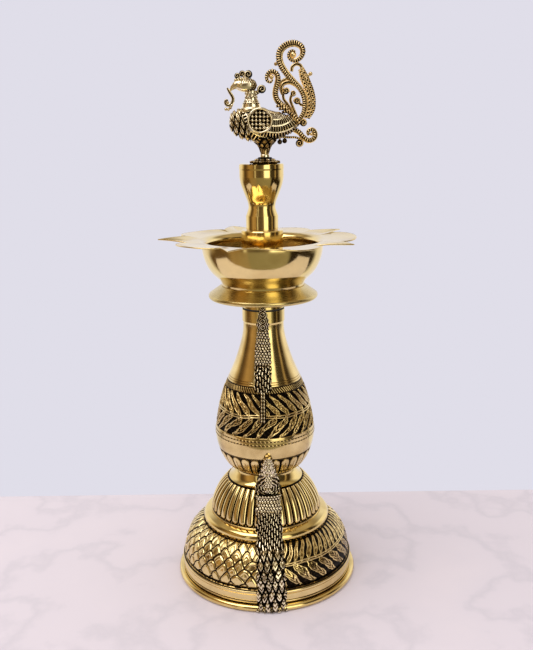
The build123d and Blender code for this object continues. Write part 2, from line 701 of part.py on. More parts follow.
def tail_lace():
    """Outer lacework band, with the arch that ties it to the tall plume."""
    band = scroll([
        (28.0, 59.0), (34.6, 53.6), (39.6, 47.2), (41.6, 39.8), (41.8, 32.6), (40.4, 25.6), (35.6, 20.2),
    ], 2.8, FINE_SCROLL_T)
    return band + ball((38.8, 53.2), 1.4)


def tail_filigree():
    stem = scroll([(21.6, 36.6), (22.4, 31.6), (25.6, 26.6), (28.6, 21.0)], 1.2, FINE_SCROLL_T)
    return stem + loop((20.0, 38.6), 2.4, 1.1) + loop((26.4, 32.0), 2.4, 1.1)


def tail_low_plume():
    stem = scroll([
        (22.0, 10.2), (28.0, 9.0), (32.6, 5.6), (37.4, 2.6), (42.2, 4.4), (43.0, 9.0), (39.6, 11.0),
    ], 1.8, SCROLL_T)
    return stem + ball((39.4, 7.6), 2.4)


def tail_low_curls():
    """Small curls above and below the low plume."""
    stem = scroll([(20.0, 4.6), (25.6, 3.2), (31.0, 3.0)], 0.9, FINE_SCROLL_T)
    return stem + loop((30.4, -0.2), 2.2, 1.1) + loop((33.6, 16.0), 2.4, 1.2)


def tail_drops():
    """Two hanging balls under the tail."""
    drops = Part()
    for x, rise in [(15.2, 1.0), (19.2, 1.8)]:
        drops += ball((x, rise), 2.0) + rod(0.8, Z_PEACOCK + rise, Z_PEACOCK + 8.0, x)
    return drops


def nape_curl():
    return loop(NAPE_CURL, 2.3, 1.2) + scroll([(-3.6, 38.4), (-1.2, 39.0), (0.6, 39.8)], 0.9, FINE_SCROLL_T)


def beak_scroll():
    stem = scroll([
        (-24.8, 43.0), (-24.6, 38.8), (-22.2, 35.2), (-23.2, 30.9), (-27.0, 29.8), (-29.0, 32.6), (-26.8, 34.6),
    ], 0.9, FINE_SCROLL_T)
    return stem + ball((-27.6, 27.8), 1.6)


def peacock_pieces():
    """Castings of the peacock, each cut to sit against the ones before it."""
    makers = {
        "peacock_body": peacock_body, "peacock_pillar": peacock_pillar, "peacock_neck": peacock_neck,
        "peacock_head": peacock_head, "peacock_crest": peacock_crest,
        "wing_left": lambda: wing(-1), "wing_right": lambda: wing(1),
        "tail_tall_plume": tail_tall_plume, "tail_short_plume": tail_short_plume,
        "tail_crook": tail_crook, "tail_lace": tail_lace, "tail_filigree": tail_filigree,
        "tail_low_plume": tail_low_plume, "tail_low_curls": tail_low_curls, "tail_drops": tail_drops,
        "nape_curl": nape_curl, "beak_scroll": beak_scroll,
    }
    pieces = {}
    for name, make in makers.items():
        piece = make()
        for other in pieces.values():
            piece -= other
        pieces[name] = piece
    return pieces


def lamp():
    """Every node of the lamp by name."""
    nodes = {
        "foot_ring": foot_ring(), "base_bell": base_bell(), "shoulder_ring": shoulder_ring(),
        "fluted_dome": fluted_dome(), "base_cup": base_cup(), "base_bush": base_bush(),
        "base_washer": base_washer(), "base_nut": base_nut(), "base_rivet": base_rivet(),
        "base_peacock_tail": base_tail(), "base_peacock_bird": base_bird(),
        "stem_washer": stem_washer(), "stem_pear": stem_pear(), "stem_stud": stem_stud(),
        "stem_collar": stem_collar(), "stem_peacock_tail": stem_tail(), "stem_peacock_bird": stem_bird(),
        "bowl_washer": bowl_washer(), "bowl_foot": bowl_foot(), "drip_saucer": drip_saucer(),
        "oil_bowl": oil_bowl(), "bowl_hub": bowl_hub(),
        "finial_washer": finial_washer(), "finial_column": finial_column(), "finial_nut": finial_nut(),
        "finial_goblet": finial_goblet(), "finial_cap": finial_cap(), "lotus_rosette": lotus_rosette(),
        "peacock_screw": peacock_screw(),
    }
    nodes.update(peacock_pieces())
    return nodes


os.makedirs("parts", exist_ok=True)
for node, shape in lamp().items():
    export_step(shape, f"parts/{node}.step")
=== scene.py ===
import json
from math import cos, hypot, pi, radians, sin

import bpy
import numpy as np
from mathutils import Matrix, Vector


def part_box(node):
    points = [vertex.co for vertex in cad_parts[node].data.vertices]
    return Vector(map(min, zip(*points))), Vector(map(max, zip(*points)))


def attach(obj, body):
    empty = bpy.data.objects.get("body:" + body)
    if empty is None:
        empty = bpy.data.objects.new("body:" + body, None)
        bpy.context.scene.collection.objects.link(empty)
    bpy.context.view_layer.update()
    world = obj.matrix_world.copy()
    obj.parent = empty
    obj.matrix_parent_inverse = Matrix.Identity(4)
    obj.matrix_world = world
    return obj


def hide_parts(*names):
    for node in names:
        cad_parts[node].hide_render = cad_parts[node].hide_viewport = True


# Brass standing oil lamp. Sizes in this file are millimetres and become metres in shape_mesh.
# Azimuths are degrees from +X round the lamp's axis, and the front faces -Y.

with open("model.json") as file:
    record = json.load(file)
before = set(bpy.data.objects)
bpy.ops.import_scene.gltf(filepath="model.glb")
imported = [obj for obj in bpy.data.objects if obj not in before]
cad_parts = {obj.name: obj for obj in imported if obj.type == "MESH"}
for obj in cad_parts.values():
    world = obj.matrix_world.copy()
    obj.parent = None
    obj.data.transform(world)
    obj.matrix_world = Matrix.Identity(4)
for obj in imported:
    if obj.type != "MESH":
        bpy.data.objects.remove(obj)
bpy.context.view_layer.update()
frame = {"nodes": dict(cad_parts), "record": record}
NODES = frame["nodes"]
MM = 0.001
ROPE_COLUMNS = 1200          # points round each twisted ring
RECESS = "recess"            # mesh attribute: 0 on worn high spots, where the cast brass also takes a painted highlight colour, 1 deep in a hollow


# Reading the CAD frame


def height_range(node):
    low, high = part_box(node)
    return low.z / MM, high.z / MM


def middle_x(node):
    low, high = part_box(node)
    return 0.5 * (low.x + high.x) / MM


def outside(node):
    """Outside of a turned CAD node as two rows, heights and radii, from the foot up."""
    mesh = NODES[node].data
    count = len(mesh.vertices)
    points = np.zeros(count * 3)
    normals = np.zeros(count * 3)
    mesh.vertices.foreach_get("co", points)
    mesh.vertex_normals.foreach_get("vector", normals)
    points = points.reshape(-1, 3) / MM
    normals = normals.reshape(-1, 3)
    radius = np.hypot(points[:, 0], points[:, 1])
    outward = (points[:, :2] * normals[:, :2]).sum(1) > 0.2 * radius
    heights = np.round(points[outward, 2], 2)
    levels = np.unique(heights)
    radii = np.array([radius[outward][heights == level].max() for level in levels])
    return levels, radii


def fair(places, values, at):
    """Smooth curve through the values, read at other places."""
    slope = np.gradient(values, places)
    i = np.clip(np.searchsorted(places, at) - 1, 0, len(places) - 2)
    run = places[i + 1] - places[i]
    t = unit((at - places[i]) / run)
    rise = (1 + 2 * t) * (1 - t) ** 2 * values[i] + t * t * (3 - 2 * t) * values[i + 1]
    return rise + run * (t * (1 - t) ** 2 * slope[i] - t * t * (1 - t) * slope[i + 1])


def walked(points):
    """Length of the way to each point of a path."""
    return np.concatenate([[0], np.cumsum(np.linalg.norm(np.diff(points, axis=0), axis=1))])


def through(points, count):
    """Rounded path of that many points through the given ones, evenly spaced."""
    points = np.array(points, float)
    length = walked(points)
    fine = np.linspace(0, length[-1], 8 * count)
    path = np.stack([fair(length, column, fine) for column in points.T], 1)
    length = walked(path)
    even = np.linspace(0, length[-1], count)
    return np.stack([np.interp(even, length, column) for column in path.T], 1)


def right_of(path):
    """Direction to the right of a path at each of its points."""
    ahead = np.gradient(path, axis=0)
    ahead /= np.linalg.norm(ahead, axis=1)[:, None]
    return np.stack([ahead[:, 1], -ahead[:, 0]], 1)


# Height fields: numbers from 0 to 1 drawn over a surface


def unit(value):
    """Value kept between 0 and 1."""
    return np.clip(value, 0, 1)


def soft(value, low, high):
    """Smooth step, 0 at low and 1 at high."""
    t = unit((value - low) / (high - low))
    return t * t * (3 - 2 * t)


def line(distance, half):
    """1 along a line, down to 0 at its half width."""
    return 1 - soft(np.abs(distance), 0.3 * half, half)


def bump(distance, half):
    """Half round ridge of that half width."""
    return np.sqrt(unit(1 - (distance / half) ** 2))


def wave(phase):
    """Smooth repeat from 0 to 1, once for each whole number."""
    return 0.5 + 0.5 * np.cos(2 * pi * phase)


def wobble(x, y, size, seed=0.0):
    """Gentle unevenness between -1 and 1, for hand finished surfaces."""
    a = np.sin(x / size + 1.7 * np.sin(y / size * 0.8 + seed) + seed)
    b = np.sin(y / size * 1.3 + 1.3 * np.sin(x / size * 1.1 - seed))
    return 0.5 * (a + b)


# Mesh building


def quads_between(rows, columns, close_rows):
    """Four-sided faces over a grid of points that closes round its columns."""
    i = np.arange(rows if close_rows else rows - 1)[:, None]
    j = np.arange(columns)[None, :]
    below = (i + 1) % rows
    beside = (j + 1) % columns
    corners = [i * columns + j, i * columns + beside, below * columns + beside, below * columns + j]
    return np.stack(np.broadcast_arrays(*corners), -1).reshape(-1, 4)


class Shape:
    """Points, faces and recess of one piece, gathered part by part from grids of points."""

    def __init__(self):
        self.points = []
        self.faces = []
        self.recess = []
        self.count = 0

    def add(self, points, recess, faces):
        self.points.append(points.reshape(-1, 3))
        self.faces += [block + self.count for block in faces]
        self.recess.append(np.broadcast_to(recess, points.shape[:2]).ravel())
        self.count += points.shape[0] * points.shape[1]

    def tube(self, points, recess):
        """Surface closed round its columns, with both ends capped."""
        rows, columns = points.shape[:2]
        first = np.arange(columns)[None, ::-1]
        last = (rows - 1) * columns + np.arange(columns)[None, :]
        self.add(points, recess, [quads_between(rows, columns, False), first, last])

    def ring(self, points, recess):
        """Surface closed both ways."""
        self.add(points, recess, [quads_between(*points.shape[:2], True)])

    def piece(self, name, body, slot, material, node):
        """Blender object with this shape, riding on a CAD body and standing for a CAD node."""
        piece = bpy.data.objects.new(name, shape_mesh(name, self))
        piece.data.materials.append(material)
        bpy.context.scene.collection.objects.link(piece)
        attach(piece, body)
        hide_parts(node)


def shape_mesh(name, shape):
    """Mesh with a Shape's points, faces and recess."""
    points = np.concatenate(shape.points) * MM
    recess = np.concatenate(shape.recess)
    sizes = np.concatenate([np.full(len(block), block.shape[1]) for block in shape.faces])
    corners = np.concatenate([block.ravel() for block in shape.faces])
    starts = np.concatenate([[0], np.cumsum(sizes)[:-1]])
    mesh = bpy.data.meshes.new(name)
    mesh.vertices.add(len(points))
    mesh.vertices.foreach_set("co", points.astype(np.float32).ravel())
    mesh.loops.add(len(corners))
    mesh.loops.foreach_set("vertex_index", corners.astype(np.int32))
    mesh.polygons.add(len(sizes))
    mesh.polygons.foreach_set("loop_start", starts.astype(np.int32))
    mesh.update(calc_edges=True)
    mesh.shade_smooth()
    mesh.attributes.new(RECESS, "FLOAT", "POINT").data.foreach_set("value", recess.astype(np.float32))
    mesh.validate()
    return mesh


def full_turn(count):
    """Angles once round, as a row."""
    return np.linspace(0, 2 * pi, count, endpoint=False)[None, :]


def round_axis(r, angle, z, centre_x=0.0, squeeze=1.0):
    """Points round an upright axis, flattened along Y by squeeze."""
    x = centre_x + r * np.cos(angle)
    y = r * np.sin(angle) * squeeze
    return np.stack(np.broadcast_arrays(x, y, z), -1)


def turned_relief(shape, heights, radii, columns, relief, wall):
    """Closed ring whose outside follows the outline, raised or sunk by relief(x, z, radius).

    relief gives the height in millimetres and the recess; x runs round the ring in
    degrees from the front, so that it is the same pattern at every radius.
    """
    azimuth = np.arange(columns) * 360.0 / columns
    front = (azimuth + 90.0 + 180.0) % 360.0 - 180.0
    slope_r = np.gradient(radii, heights)
    normal = np.hypot(1.0, slope_r)
    height, recess = relief(front[None, :], heights[:, None], radii[:, None])
    r = radii[:, None] + height / normal[:, None]
    z = heights[:, None] - height * (slope_r / normal)[:, None]
    inner = np.stack([radii[::-1][:: len(radii) - 1] - wall, heights[::-1][:: len(radii) - 1]], 1)
    r = np.vstack([r, np.repeat(inner[:, :1], columns, 1)])
    z = np.vstack([z, np.repeat(inner[:, 1:], columns, 1)])
    recess = np.vstack([np.broadcast_to(recess, height.shape), np.full((2, columns), 0.4)])
    shape.ring(round_axis(r, np.radians(azimuth)[None, :], z), recess)


def lathe(shape, outline, columns, recess, centre_x):
    """Closed ring turned from a closed outline of points (radius, height)."""
    outline = np.array(outline, float)
    points = round_axis(outline[:, :1], full_turn(columns), outline[:, 1:], centre_x)
    shape.ring(points, recess)


def rope_ring(shape, radius, height, thick, strands):
    """Twisted cord laid round the lamp."""
    angle = full_turn(ROPE_COLUMNS)
    turn = full_turn(12).T
    twist = wave(strands * angle / (2 * pi) + turn / (2 * pi))
    thin = thick * (0.78 + 0.22 * twist)
    points = round_axis(radius + thin * np.cos(turn), angle, height + thin * np.sin(turn))
    shape.ring(points, 0.75 * (1 - twist))


def ball(shape, centre, radius, recess=0.1, squash=(1.0, 1.0, 1.0), rings=10):
    """Round bead."""
    polar = np.linspace(0.04, pi - 0.04, rings)[:, None]
    points = round_axis(np.sin(polar), full_turn(2 * rings), np.cos(polar))
    points = points * np.array(squash) * radius + np.array(centre)
    shape.tube(points[:, ::-1], recess)


def ribbon(shape, path, half_width, half_depth, form=None, sides=12):
    """Bar swept along a path of (x, z) points in the lamp's middle plane.

    form(along, across) gives the swelling and recess, with across from -1 on the left
    of the path to 1 on its right.
    """
    path = np.array(path, float)
    right = right_of(path)
    turn = full_turn(sides)
    across = np.cos(turn)
    swell, recess = form(walked(path)[:, None], across) if form else (1.0, 0.15)
    width = np.broadcast_to(half_width, (len(path),))[:, None] * across * swell
    depth = np.broadcast_to(half_depth, (len(path),))[:, None] * np.sin(turn) * swell
    x = path[:, :1] + right[:, :1] * width
    z = path[:, 1:] + right[:, 1:] * width
    shape.tube(np.stack([x, depth, z], -1), recess)


# Materials


def node_tree(name):
    material = bpy.data.materials.new(name)
    material.use_nodes = True
    tree = material.node_tree
    return material, tree, tree.nodes["Principled BSDF"]


def add_node(tree, kind, values, links):
    """Shader node with some of its inputs set and some linked."""
    node = tree.nodes.new("ShaderNode" + kind)
    for socket, value in values.items():
        node.inputs[socket].default_value = value
    for socket, source in links.items():
        tree.links.new(source, node.inputs[socket])
    return node


def ramp(tree, source, stops):
    """Colours along a value, as stops of (position, colour)."""
    node = add_node(tree, "ValToRGB", {}, {"Fac": source})
    elements = node.color_ramp.elements
    elements[0].position = stops[0][0]
    elements[0].color = (*stops[0][1], 1)
    elements[1].position = stops[-1][0]
    elements[1].color = (*stops[-1][1], 1)
    for position, colour in stops[1:-1]:
        elements.new(position).color = (*colour, 1)
    return node.outputs["Color"]


def noise(tree, scale, detail=3.0, stretch=(1, 1, 1)):
    """Object space noise, finer along an axis with a larger stretch."""
    place = tree.nodes.new("ShaderNodeTexCoord").outputs["Object"]
    mapping = add_node(tree, "Mapping", {"Scale": stretch}, {"Vector": place})
    values = {"Scale": scale, "Detail": detail}
    texture = add_node(tree, "TexNoise", values, {"Vector": mapping.outputs["Vector"]})
    return texture.outputs["Fac"]


def remap(tree, source, low, high, out_low, out_high):
    values = {"From Min": low, "From Max": high, "To Min": out_low, "To Max": out_high}
    return add_node(tree, "MapRange", values, {"Value": source}).outputs["Result"]


def maths(tree, operation, first, second):
    """Two sockets combined, or a socket and a constant."""
    constant = isinstance(second, float)
    values = {1: second} if constant else {}
    links = {0: first} if constant else {0: first, 1: second}
    node = add_node(tree, "Math", values, links)
    node.operation = operation
    return node.outputs["Value"]


def mixed(tree, share, first, second):
    """Blend of two colours, the second one where share is 1."""
    node = tree.nodes.new("ShaderNodeMix")
    node.data_type = "RGBA"
    tree.links.new(share, node.inputs["Factor"])
    tree.links.new(first, node.inputs[6])
    tree.links.new(second, node.inputs[7])
    return node.outputs[2]


def bumps(tree, shader, *layers):
    """Bump layers of (height, strength, distance in metres), one on top of the other."""
    last = None
    for height, strength, distance in layers:
        links = {"Height": height, "Normal": last} if last else {"Height": height}
        node = add_node(tree, "Bump", {"Strength": strength, "Distance": distance}, links)
        last = node.outputs["Normal"]
    tree.links.new(last, shader.inputs["Normal"])


def recess_value(tree):
    node = tree.nodes.new("ShaderNodeAttribute")
    node.attribute_name = RECESS
    return node.outputs["Fac"]


def polished_brass(name, light, dark, rough, turning=0.25, waves=0.3):
    """Polished brass with turning lines, faint tarnish clouds and dark dirt in its hollows."""
    material, tree, shader = node_tree(name)
    tarnish = noise(tree, 45.0, 5.0)
    lines = noise(tree, 1.0, 2.0, (25, 25, 2600))
    hollow = maths(tree, "ADD", recess_value(tree), remap(tree, tarnish, 0.35, 0.75, -0.06, 0.16))
    dirt = (
        (0.0, light), (0.22, dark), (0.55, (0.10, 0.06, 0.022)), (0.78, (0.028, 0.018, 0.010)),
        (1.0, (0.008, 0.006, 0.005)))
    tree.links.new(ramp(tree, hollow, dirt), shader.inputs["Base Color"])
    turned = remap(tree, lines, 0.3, 0.7, rough, rough + 0.05)
    sheen = maths(tree, "ADD", turned, remap(tree, hollow, 0.1, 1.0, 0.0, 0.45))
    tree.links.new(sheen, shader.inputs["Roughness"])
    shader.inputs["Metallic"].default_value = 1.0
    bumps(tree, shader, (noise(tree, 38.0, 2.0), waves, 0.0006), (lines, turning, 0.00004))
    return material


def antique_brass(name, worn_highlight, shade):
    """Cast brass blackened in its hollows, and rubbed bright on its high spots in a near-white colour that
    is partly wear and partly painted highlight.
    """
    material, tree, shader = node_tree(name)
    grain = noise(tree, 420.0, 4.0)
    hollow = maths(tree, "ADD", recess_value(tree), remap(tree, grain, 0.3, 0.75, -0.10, 0.22))
    # The first two stops colour the high spots: rubbed-bright wear, whitened into a painted highlight.
    stops = (
        (0.0, worn_highlight), (0.12, worn_highlight), (0.38, shade), (0.60, (0.035, 0.021, 0.011)),
        (1.0, (0.006, 0.005, 0.004)))
    tree.links.new(ramp(tree, hollow, stops), shader.inputs["Base Color"])
    tree.links.new(remap(tree, hollow, 0.0, 0.9, 0.17, 0.55), shader.inputs["Roughness"])
    shader.inputs["Metallic"].default_value = 1.0
    bumps(tree, shader, (grain, 0.35, 0.0002), (noise(tree, 1500.0, 2.0), 0.2, 0.00005))
    return material


def rubber(name):
    """Matte black washer."""
    material, tree, shader = node_tree(name)
    grain = noise(tree, 900.0, 3.0)
    soot = ramp(tree, grain, ((0.3, (0.010, 0.010, 0.010)), (0.7, (0.03, 0.028, 0.027))))
    tree.links.new(soot, shader.inputs["Base Color"])
    shader.inputs["Roughness"].default_value = 0.6
    bumps(tree, shader, (grain, 0.4, 0.0001))
    return material


POLISHED = polished_brass("polished_brass", (0.87, 0.68, 0.29), (0.60, 0.42, 0.14), 0.07)
RELIEF = polished_brass("relief_brass", (0.88, 0.70, 0.34), (0.46, 0.31, 0.11), 0.11, 0.1, 0.35)
SATIN = polished_brass("satin_brass", (0.74, 0.60, 0.28), (0.50, 0.38, 0.15), 0.24, 0.5, 0.9)
PLAIN = polished_brass("plain_brass", (0.70, 0.52, 0.26), (0.5, 0.33, 0.14), 0.24, 0.4, 0.2)
PETAL = polished_brass("petal_brass", (0.87, 0.69, 0.32), (0.60, 0.42, 0.16), 0.09, 0.1, 0.55)
# The first colour of each cast brass, near-white on the high spots, is partly wear and partly painted
# highlight.
ANTIQUE = antique_brass("antique_brass", (0.98, 0.88, 0.66), (0.40, 0.28, 0.13))
PLUME = antique_brass("plume_brass", (0.96, 0.76, 0.44), (0.52, 0.34, 0.14))
RUBBER = rubber("black_rubber")


# Patterns on the base and the stem


def scales(x, y, pitch, rise, groove=0.42, power=2.0, edge=0.0):
    """Net of arched scales parted by dark grooves; a smaller power makes pointed arches."""
    stretch = 0.5 * pitch / rise
    rim = np.zeros(np.broadcast(x, y).shape)
    front = np.full(rim.shape, False)
    high = y * stretch
    first = np.floor(np.min(high) / (0.5 * pitch)) - 3
    last = np.ceil(np.max(high) / (0.5 * pitch)) + 1
    for k in np.arange(first, last):
        offset = 0.5 * pitch * (k % 2)
        centre = np.round((x - offset) / pitch) * pitch + offset
        away = (np.abs(x - centre) ** power + np.abs(high - k * 0.5 * pitch) ** power) ** (1 / power)
        reach = 0.56 * pitch - away
        inside = (reach > 0) & ~front
        rim = np.where(inside, reach, rim)
        front = front | inside
    cut = line(rim, groove)
    lip = edge * line(rim - 1.9 * groove, groove)
    crown = 0.35 * soft(rim, 1.2, 0.5 * pitch)
    return crown + lip - (0.35 + 0.25 * edge) * cut, unit(cut - 0.2 * lip)


def fern(x, y, rib, reach, pitch, lean, broad):
    """Feathered leaf along x: a double rib with veined, ragged leaflets close together.

    reach, pitch, lean and broad are pairs, for the leaflets above the rib and below it.
    """
    x = x + 0.9 * wobble(x, y, 6.5, 1.0)
    y = y + 0.7 * wobble(y, x, 7.5, 2.0)
    up = y > rib
    pitch = np.where(up, *pitch)
    away = np.abs(y - rib)
    t = unit(away / np.where(up, *reach))
    sweep = np.where(up, *lean) * np.where(up, *reach) * t ** 1.15
    across = x - sweep + np.where(up, 0.0, 0.5 * pitch)
    number = np.round(across / pitch)
    across = across - number * pitch
    across = across + 0.08 * pitch * np.sin(0.5 * away + 2.1 * number) * soft(t, 0.1, 0.5)
    tooth = np.where(up, 0.1, 0.4) * (wave(away / 3.6 + 0.3 * number) - 0.5)
    taper = (0.35 + 0.65 * soft(t, 0.02, 0.3)) * unit(1.03 - t) ** 0.35
    half = np.where(up, *broad) * taper + tooth
    room = half - np.abs(across)
    inside = soft(room, -0.15, 0.25)
    outline = line(room - 0.55, 0.95) * soft(1 - t, 0.0, 0.05)
    veins = soft(wave((away + 1.7 * np.abs(across)) / 3.9), 0.75, 0.25)
    furrow = np.where(up, 0.35, 0.9) * soft(room, 0.9, 1.5) * veins
    ridge = line(across, 0.6)
    stem = np.maximum(line(y - rib - 0.9, 0.85), line(y - rib + 0.9, 0.85))
    stipple = 0.5 * soft(wobble(x * 1.6, y * 1.9, 1.5, 0.3), 0.1, 0.8)
    floor = -1.25
    height = floor + 0.6 * stipple + inside * (1.0 + 0.25 * ridge - 0.7 * furrow)
    height = np.maximum(height, floor + 1.45 * outline)
    height = np.maximum(height, floor + 1.7 * stem)
    recess = 1.0 - 0.42 * stipple - inside * (0.92 - 0.80 * furrow)
    recess = np.minimum(recess, 1.0 - outline)
    recess = np.minimum(recess, 1.0 - stem)
    return height, unit(recess)


def milled(x, z, pitch, slant):
    """Fine slanted strokes."""
    stroke = wave((x + slant * z) / pitch)
    return -0.45 * (1 - stroke), 0.85 * (1 - stroke)


def layer(below, above, share):
    """Mixes two pairs of height and recess; share 1 shows the upper one."""
    return tuple(low + (high - low) * share for low, high in zip(below, above))


def between(z, low, high, edge=0.25):
    """1 inside a band of heights."""
    return soft(z, low - edge, low + edge) * (1 - soft(z, high - edge, high + edge))


# Base


BELL_LOW = 17.5              # foot of the bell's swelling face
BELL_HIGH = 49.6             # its shoulder
BELL_COLUMNS = 1440          # points round the bell
TAIL_FRONT = 3.0             # the base castings stand this many degrees right of the front
BASE_CASTING = TAIL_FRONT - 90.0
DOME_FOOT_R = 48.6
DOME_TOP_R = 33.0
FLUTES = 42
FLUTE_COLUMNS = 36           # round each flute
TURNED_WALL = 3.0            # of the bell and the dome


def bell_relief(front, z):
    """Net on the left front and right back, feathered leaf on the right front and left back."""
    turn = (front - TAIL_FRONT) % 180.0
    x = turn * 1.22
    climb = (z - BELL_LOW) / (BELL_HIGH - BELL_LOW)
    y = 39.0 * (0.84 * climb + 0.16 * climb ** 3)
    bent_x = x * 0.92 + 1.6 * wobble(x, y, 6.0, 0.4)
    bent_y = y + 3.0 + 1.4 * wobble(y, x, 5.0, 2.0)
    net = scales(bent_x, bent_y, 9.6, 7.0, 1.25, 1.5, 0.5)
    leaf = fern(x - 14.0, y, 21.0, (18.5, 20.0), (6.6, 12.4), (0.55, 0.85), (2.7, 5.1))
    leafy = between(turn, 0.0, 90.0, 0.6)
    height, recess = layer(net, leaf, leafy)
    divider = np.maximum(line(turn - 90.0, 1.6), line((turn + 90.0) % 180.0 - 90.0, 1.6))
    height = np.maximum(height, 0.3 * divider * wave(y / 2.4))
    seam = np.maximum(line(y - 0.35, 0.45), line(y - 38.4, 0.5))
    lip = line(y - 1.35, 0.55)
    height = height * (1 - lip) + 0.15 * lip - 0.5 * seam
    recess = np.maximum(recess * (1 - lip), seam)
    return height, unit(recess)


def bell_band(z):
    """Plain band with thin dark lines above and below it, and a bright lip under it."""
    low = height_range("base_bell")[0]
    lines = np.maximum(line(z - 17.0, 0.40), line(z - low - 2.6, 0.45))
    lines = np.maximum(lines, 1 - soft(z, low + 0.5, low + 1.1))
    return -0.55 * lines, lines


def base_bell():
    low, high = height_range("base_bell")
    levels, radii = outside("base_bell")
    z = np.concatenate([np.linspace(low, BELL_LOW, 40)[:-1], np.linspace(BELL_LOW, high - 0.02, 130)])
    r = fair(levels, radii, z)

    def relief(front, height, radius):
        swell = soft(height, BELL_LOW - 0.1, BELL_LOW + 0.1)
        band = [part + 0 * front for part in bell_band(height)]
        return layer(band, bell_relief(front, np.maximum(height, BELL_LOW)), swell)

    shape = Shape()
    turned_relief(shape, z, r, BELL_COLUMNS, relief, TURNED_WALL)
    shape.piece("bell_relief", "base", "polished_brass", RELIEF, "base_bell")


def dome_outline(z):
    """Radius of the dome that the flutes stand on."""
    low, high = height_range("fluted_dome")
    foot = (DOME_FOOT_R, low + 2.0)
    middle = (DOME_FOOT_R - 0.33 * (DOME_FOOT_R - DOME_TOP_R), foot[1] + 0.55 * (high - foot[1]))
    top = (DOME_TOP_R, high)
    ax, ay = middle[0] - foot[0], middle[1] - foot[1]
    bx, by = top[0] - foot[0], top[1] - foot[1]
    d = 2 * (ax * by - ay * bx)
    a2, b2 = ax * ax + ay * ay, bx * bx + by * by
    cx = foot[0] + (by * a2 - ay * b2) / d
    cy = foot[1] + (ax * b2 - bx * a2) / d
    radius = hypot(foot[0] - cx, foot[1] - cy)
    arc = cx + np.sqrt(np.maximum(radius ** 2 - (z - cy) ** 2, 0))
    return np.where(z < foot[1], foot[0], arc)


def flutes(front, z, r):
    """Rounded ribs with round feet, small leaf tips between them, and a line at the top."""
    low, high = height_range("fluted_dome")
    pitch = 360.0 / FLUTES
    x = ((front / pitch + 0.5) % 1.0 - 0.5) * radians(pitch) * r
    wide = radians(pitch) * r * 0.5
    y = (z - low) * 1.13
    half = 0.86 * wide
    foot = 2.4 + half
    away = np.where(y > foot, np.abs(x), np.hypot(x, y - foot))
    rib = bump(away, half)
    inner = line(away - 0.97 * half, 0.45)
    tip = bump(np.hypot((np.abs(x) - wide) * 1.2, (y - 2.6) * 0.8), 1.2)
    height = -1.5 + 2.0 * rib ** 0.8
    height = np.maximum(height, -1.5 + 1.1 * tip)
    recess = unit(1.0 - 1.6 * rib)
    recess = np.minimum(recess, 1.0 - 0.8 * tip)
    recess = np.maximum(recess, 0.5 * inner)
    ledge = 1 - soft(y, 0.9, 1.4)
    height, recess = layer((height, recess), (0.2, 0.0), ledge)
    top = soft(z, high - 1.1, high - 0.5)
    return layer((height, recess), (-1.2, 1.0), top)


def fluted_dome():
    low, high = height_range("fluted_dome")
    z = np.linspace(low + 0.02, high - 0.02, 110)
    shape = Shape()
    turned_relief(shape, z, dome_outline(z), FLUTES * FLUTE_COLUMNS, flutes, TURNED_WALL)
    shape.piece("dome_flutes", "base", "polished_brass", RELIEF, "fluted_dome")


# Stem


PEAR_COLUMNS = 1080          # points round the pear
PEAR_WALL = 2.6
STEM_CASTING = -92.0         # azimuth of the castings on the stem


def petals(x_degrees, z, r, high, count):
    """Row of upright rounded petals with a raised middle."""
    pitch = 360.0 / count
    x = ((x_degrees / pitch + 0.5) % 1.0 - 0.5) * radians(pitch) * r
    wide = radians(pitch) * r * 0.5
    half = 0.9 * wide
    crown = high - half - 0.6
    away = np.where(z < crown, np.abs(x), np.hypot(x, (z - crown) * 0.9))
    leaf = bump(away, half)
    rim = line(away - 0.82 * half, 0.5)
    vein = line(x, 0.5) * soft(crown + 1.0 - z, 0, 2)
    height = -0.9 + 1.1 * leaf ** 0.7 + 0.15 * rim - 0.25 * vein
    recess = unit(0.9 - 1.5 * leaf) + 0.3 * vein
    return height, unit(recess)


def stem_pattern(front, z, r):
    """Bands of the pear, from the petals at its foot to the turned neck."""
    foot = height_range("stem_pear")[0]
    rise = z - foot
    plain = (0.0 * front + 0 * z, 0.04 + 0.0 * front + 0 * z)
    x = front * 0.72
    result = layer(plain, petals(front, z, r, foot + 19.2, 28), between(rise, 3.0, 19.2))
    leaf = fern(x - 4.0, rise, 57.0, (17.6, 16.8), (9.0, 10.4), (-0.9, -0.95), (3.7, 4.3))
    result = layer(result, leaf, between(rise, 39.6, 75.2))
    strokes = milled(x + 0.6 * wobble(x, z, 5.0), z, 2.7, 0.8)
    result = layer(result, strokes, between(rise, 75.6, 80.2))
    rings = np.maximum.reduce([line(rise - at, 0.55) for at in (3.0, 19.9, 75.4, 80.4)])
    fine = np.maximum.reduce([line(rise - at, 0.35) for at in (82.5, 84.0)])
    result = layer(result, (-0.35, 0.95), rings)
    return layer(result, (-0.12, 0.35), fine)


def stem_pear():
    low, high = height_range("stem_pear")
    levels, radii = outside("stem_pear")
    neck_foot = low + 81.0
    lower = np.linspace(low + 0.02, neck_foot, 260)[:-1]
    z = np.concatenate([lower, np.linspace(neck_foot, high - 0.02, 110)])
    r = fair(levels, radii, z)
    shape = Shape()
    turned_relief(shape, z, r, PEAR_COLUMNS, stem_pattern, PEAR_WALL)
    for rise in (33.2, 36.4):
        radius = float(fair(levels, radii, np.array([low + rise]))[0])
        rope_ring(shape, radius - 0.75, low + rise, 1.15, 84)
    shape.piece("pear_relief", "stem", "polished_brass", RELIEF, "stem_pear")


# Riveted peacock castings


def without_dips(values, reach):
    """Values with their narrow dips filled in."""
    windows = np.lib.stride_tricks.sliding_window_view
    wide = windows(np.pad(values, reach, mode="edge"), 2 * reach + 1).max(1)
    return windows(np.pad(wide, reach, mode="edge"), 2 * reach + 1).min(1)


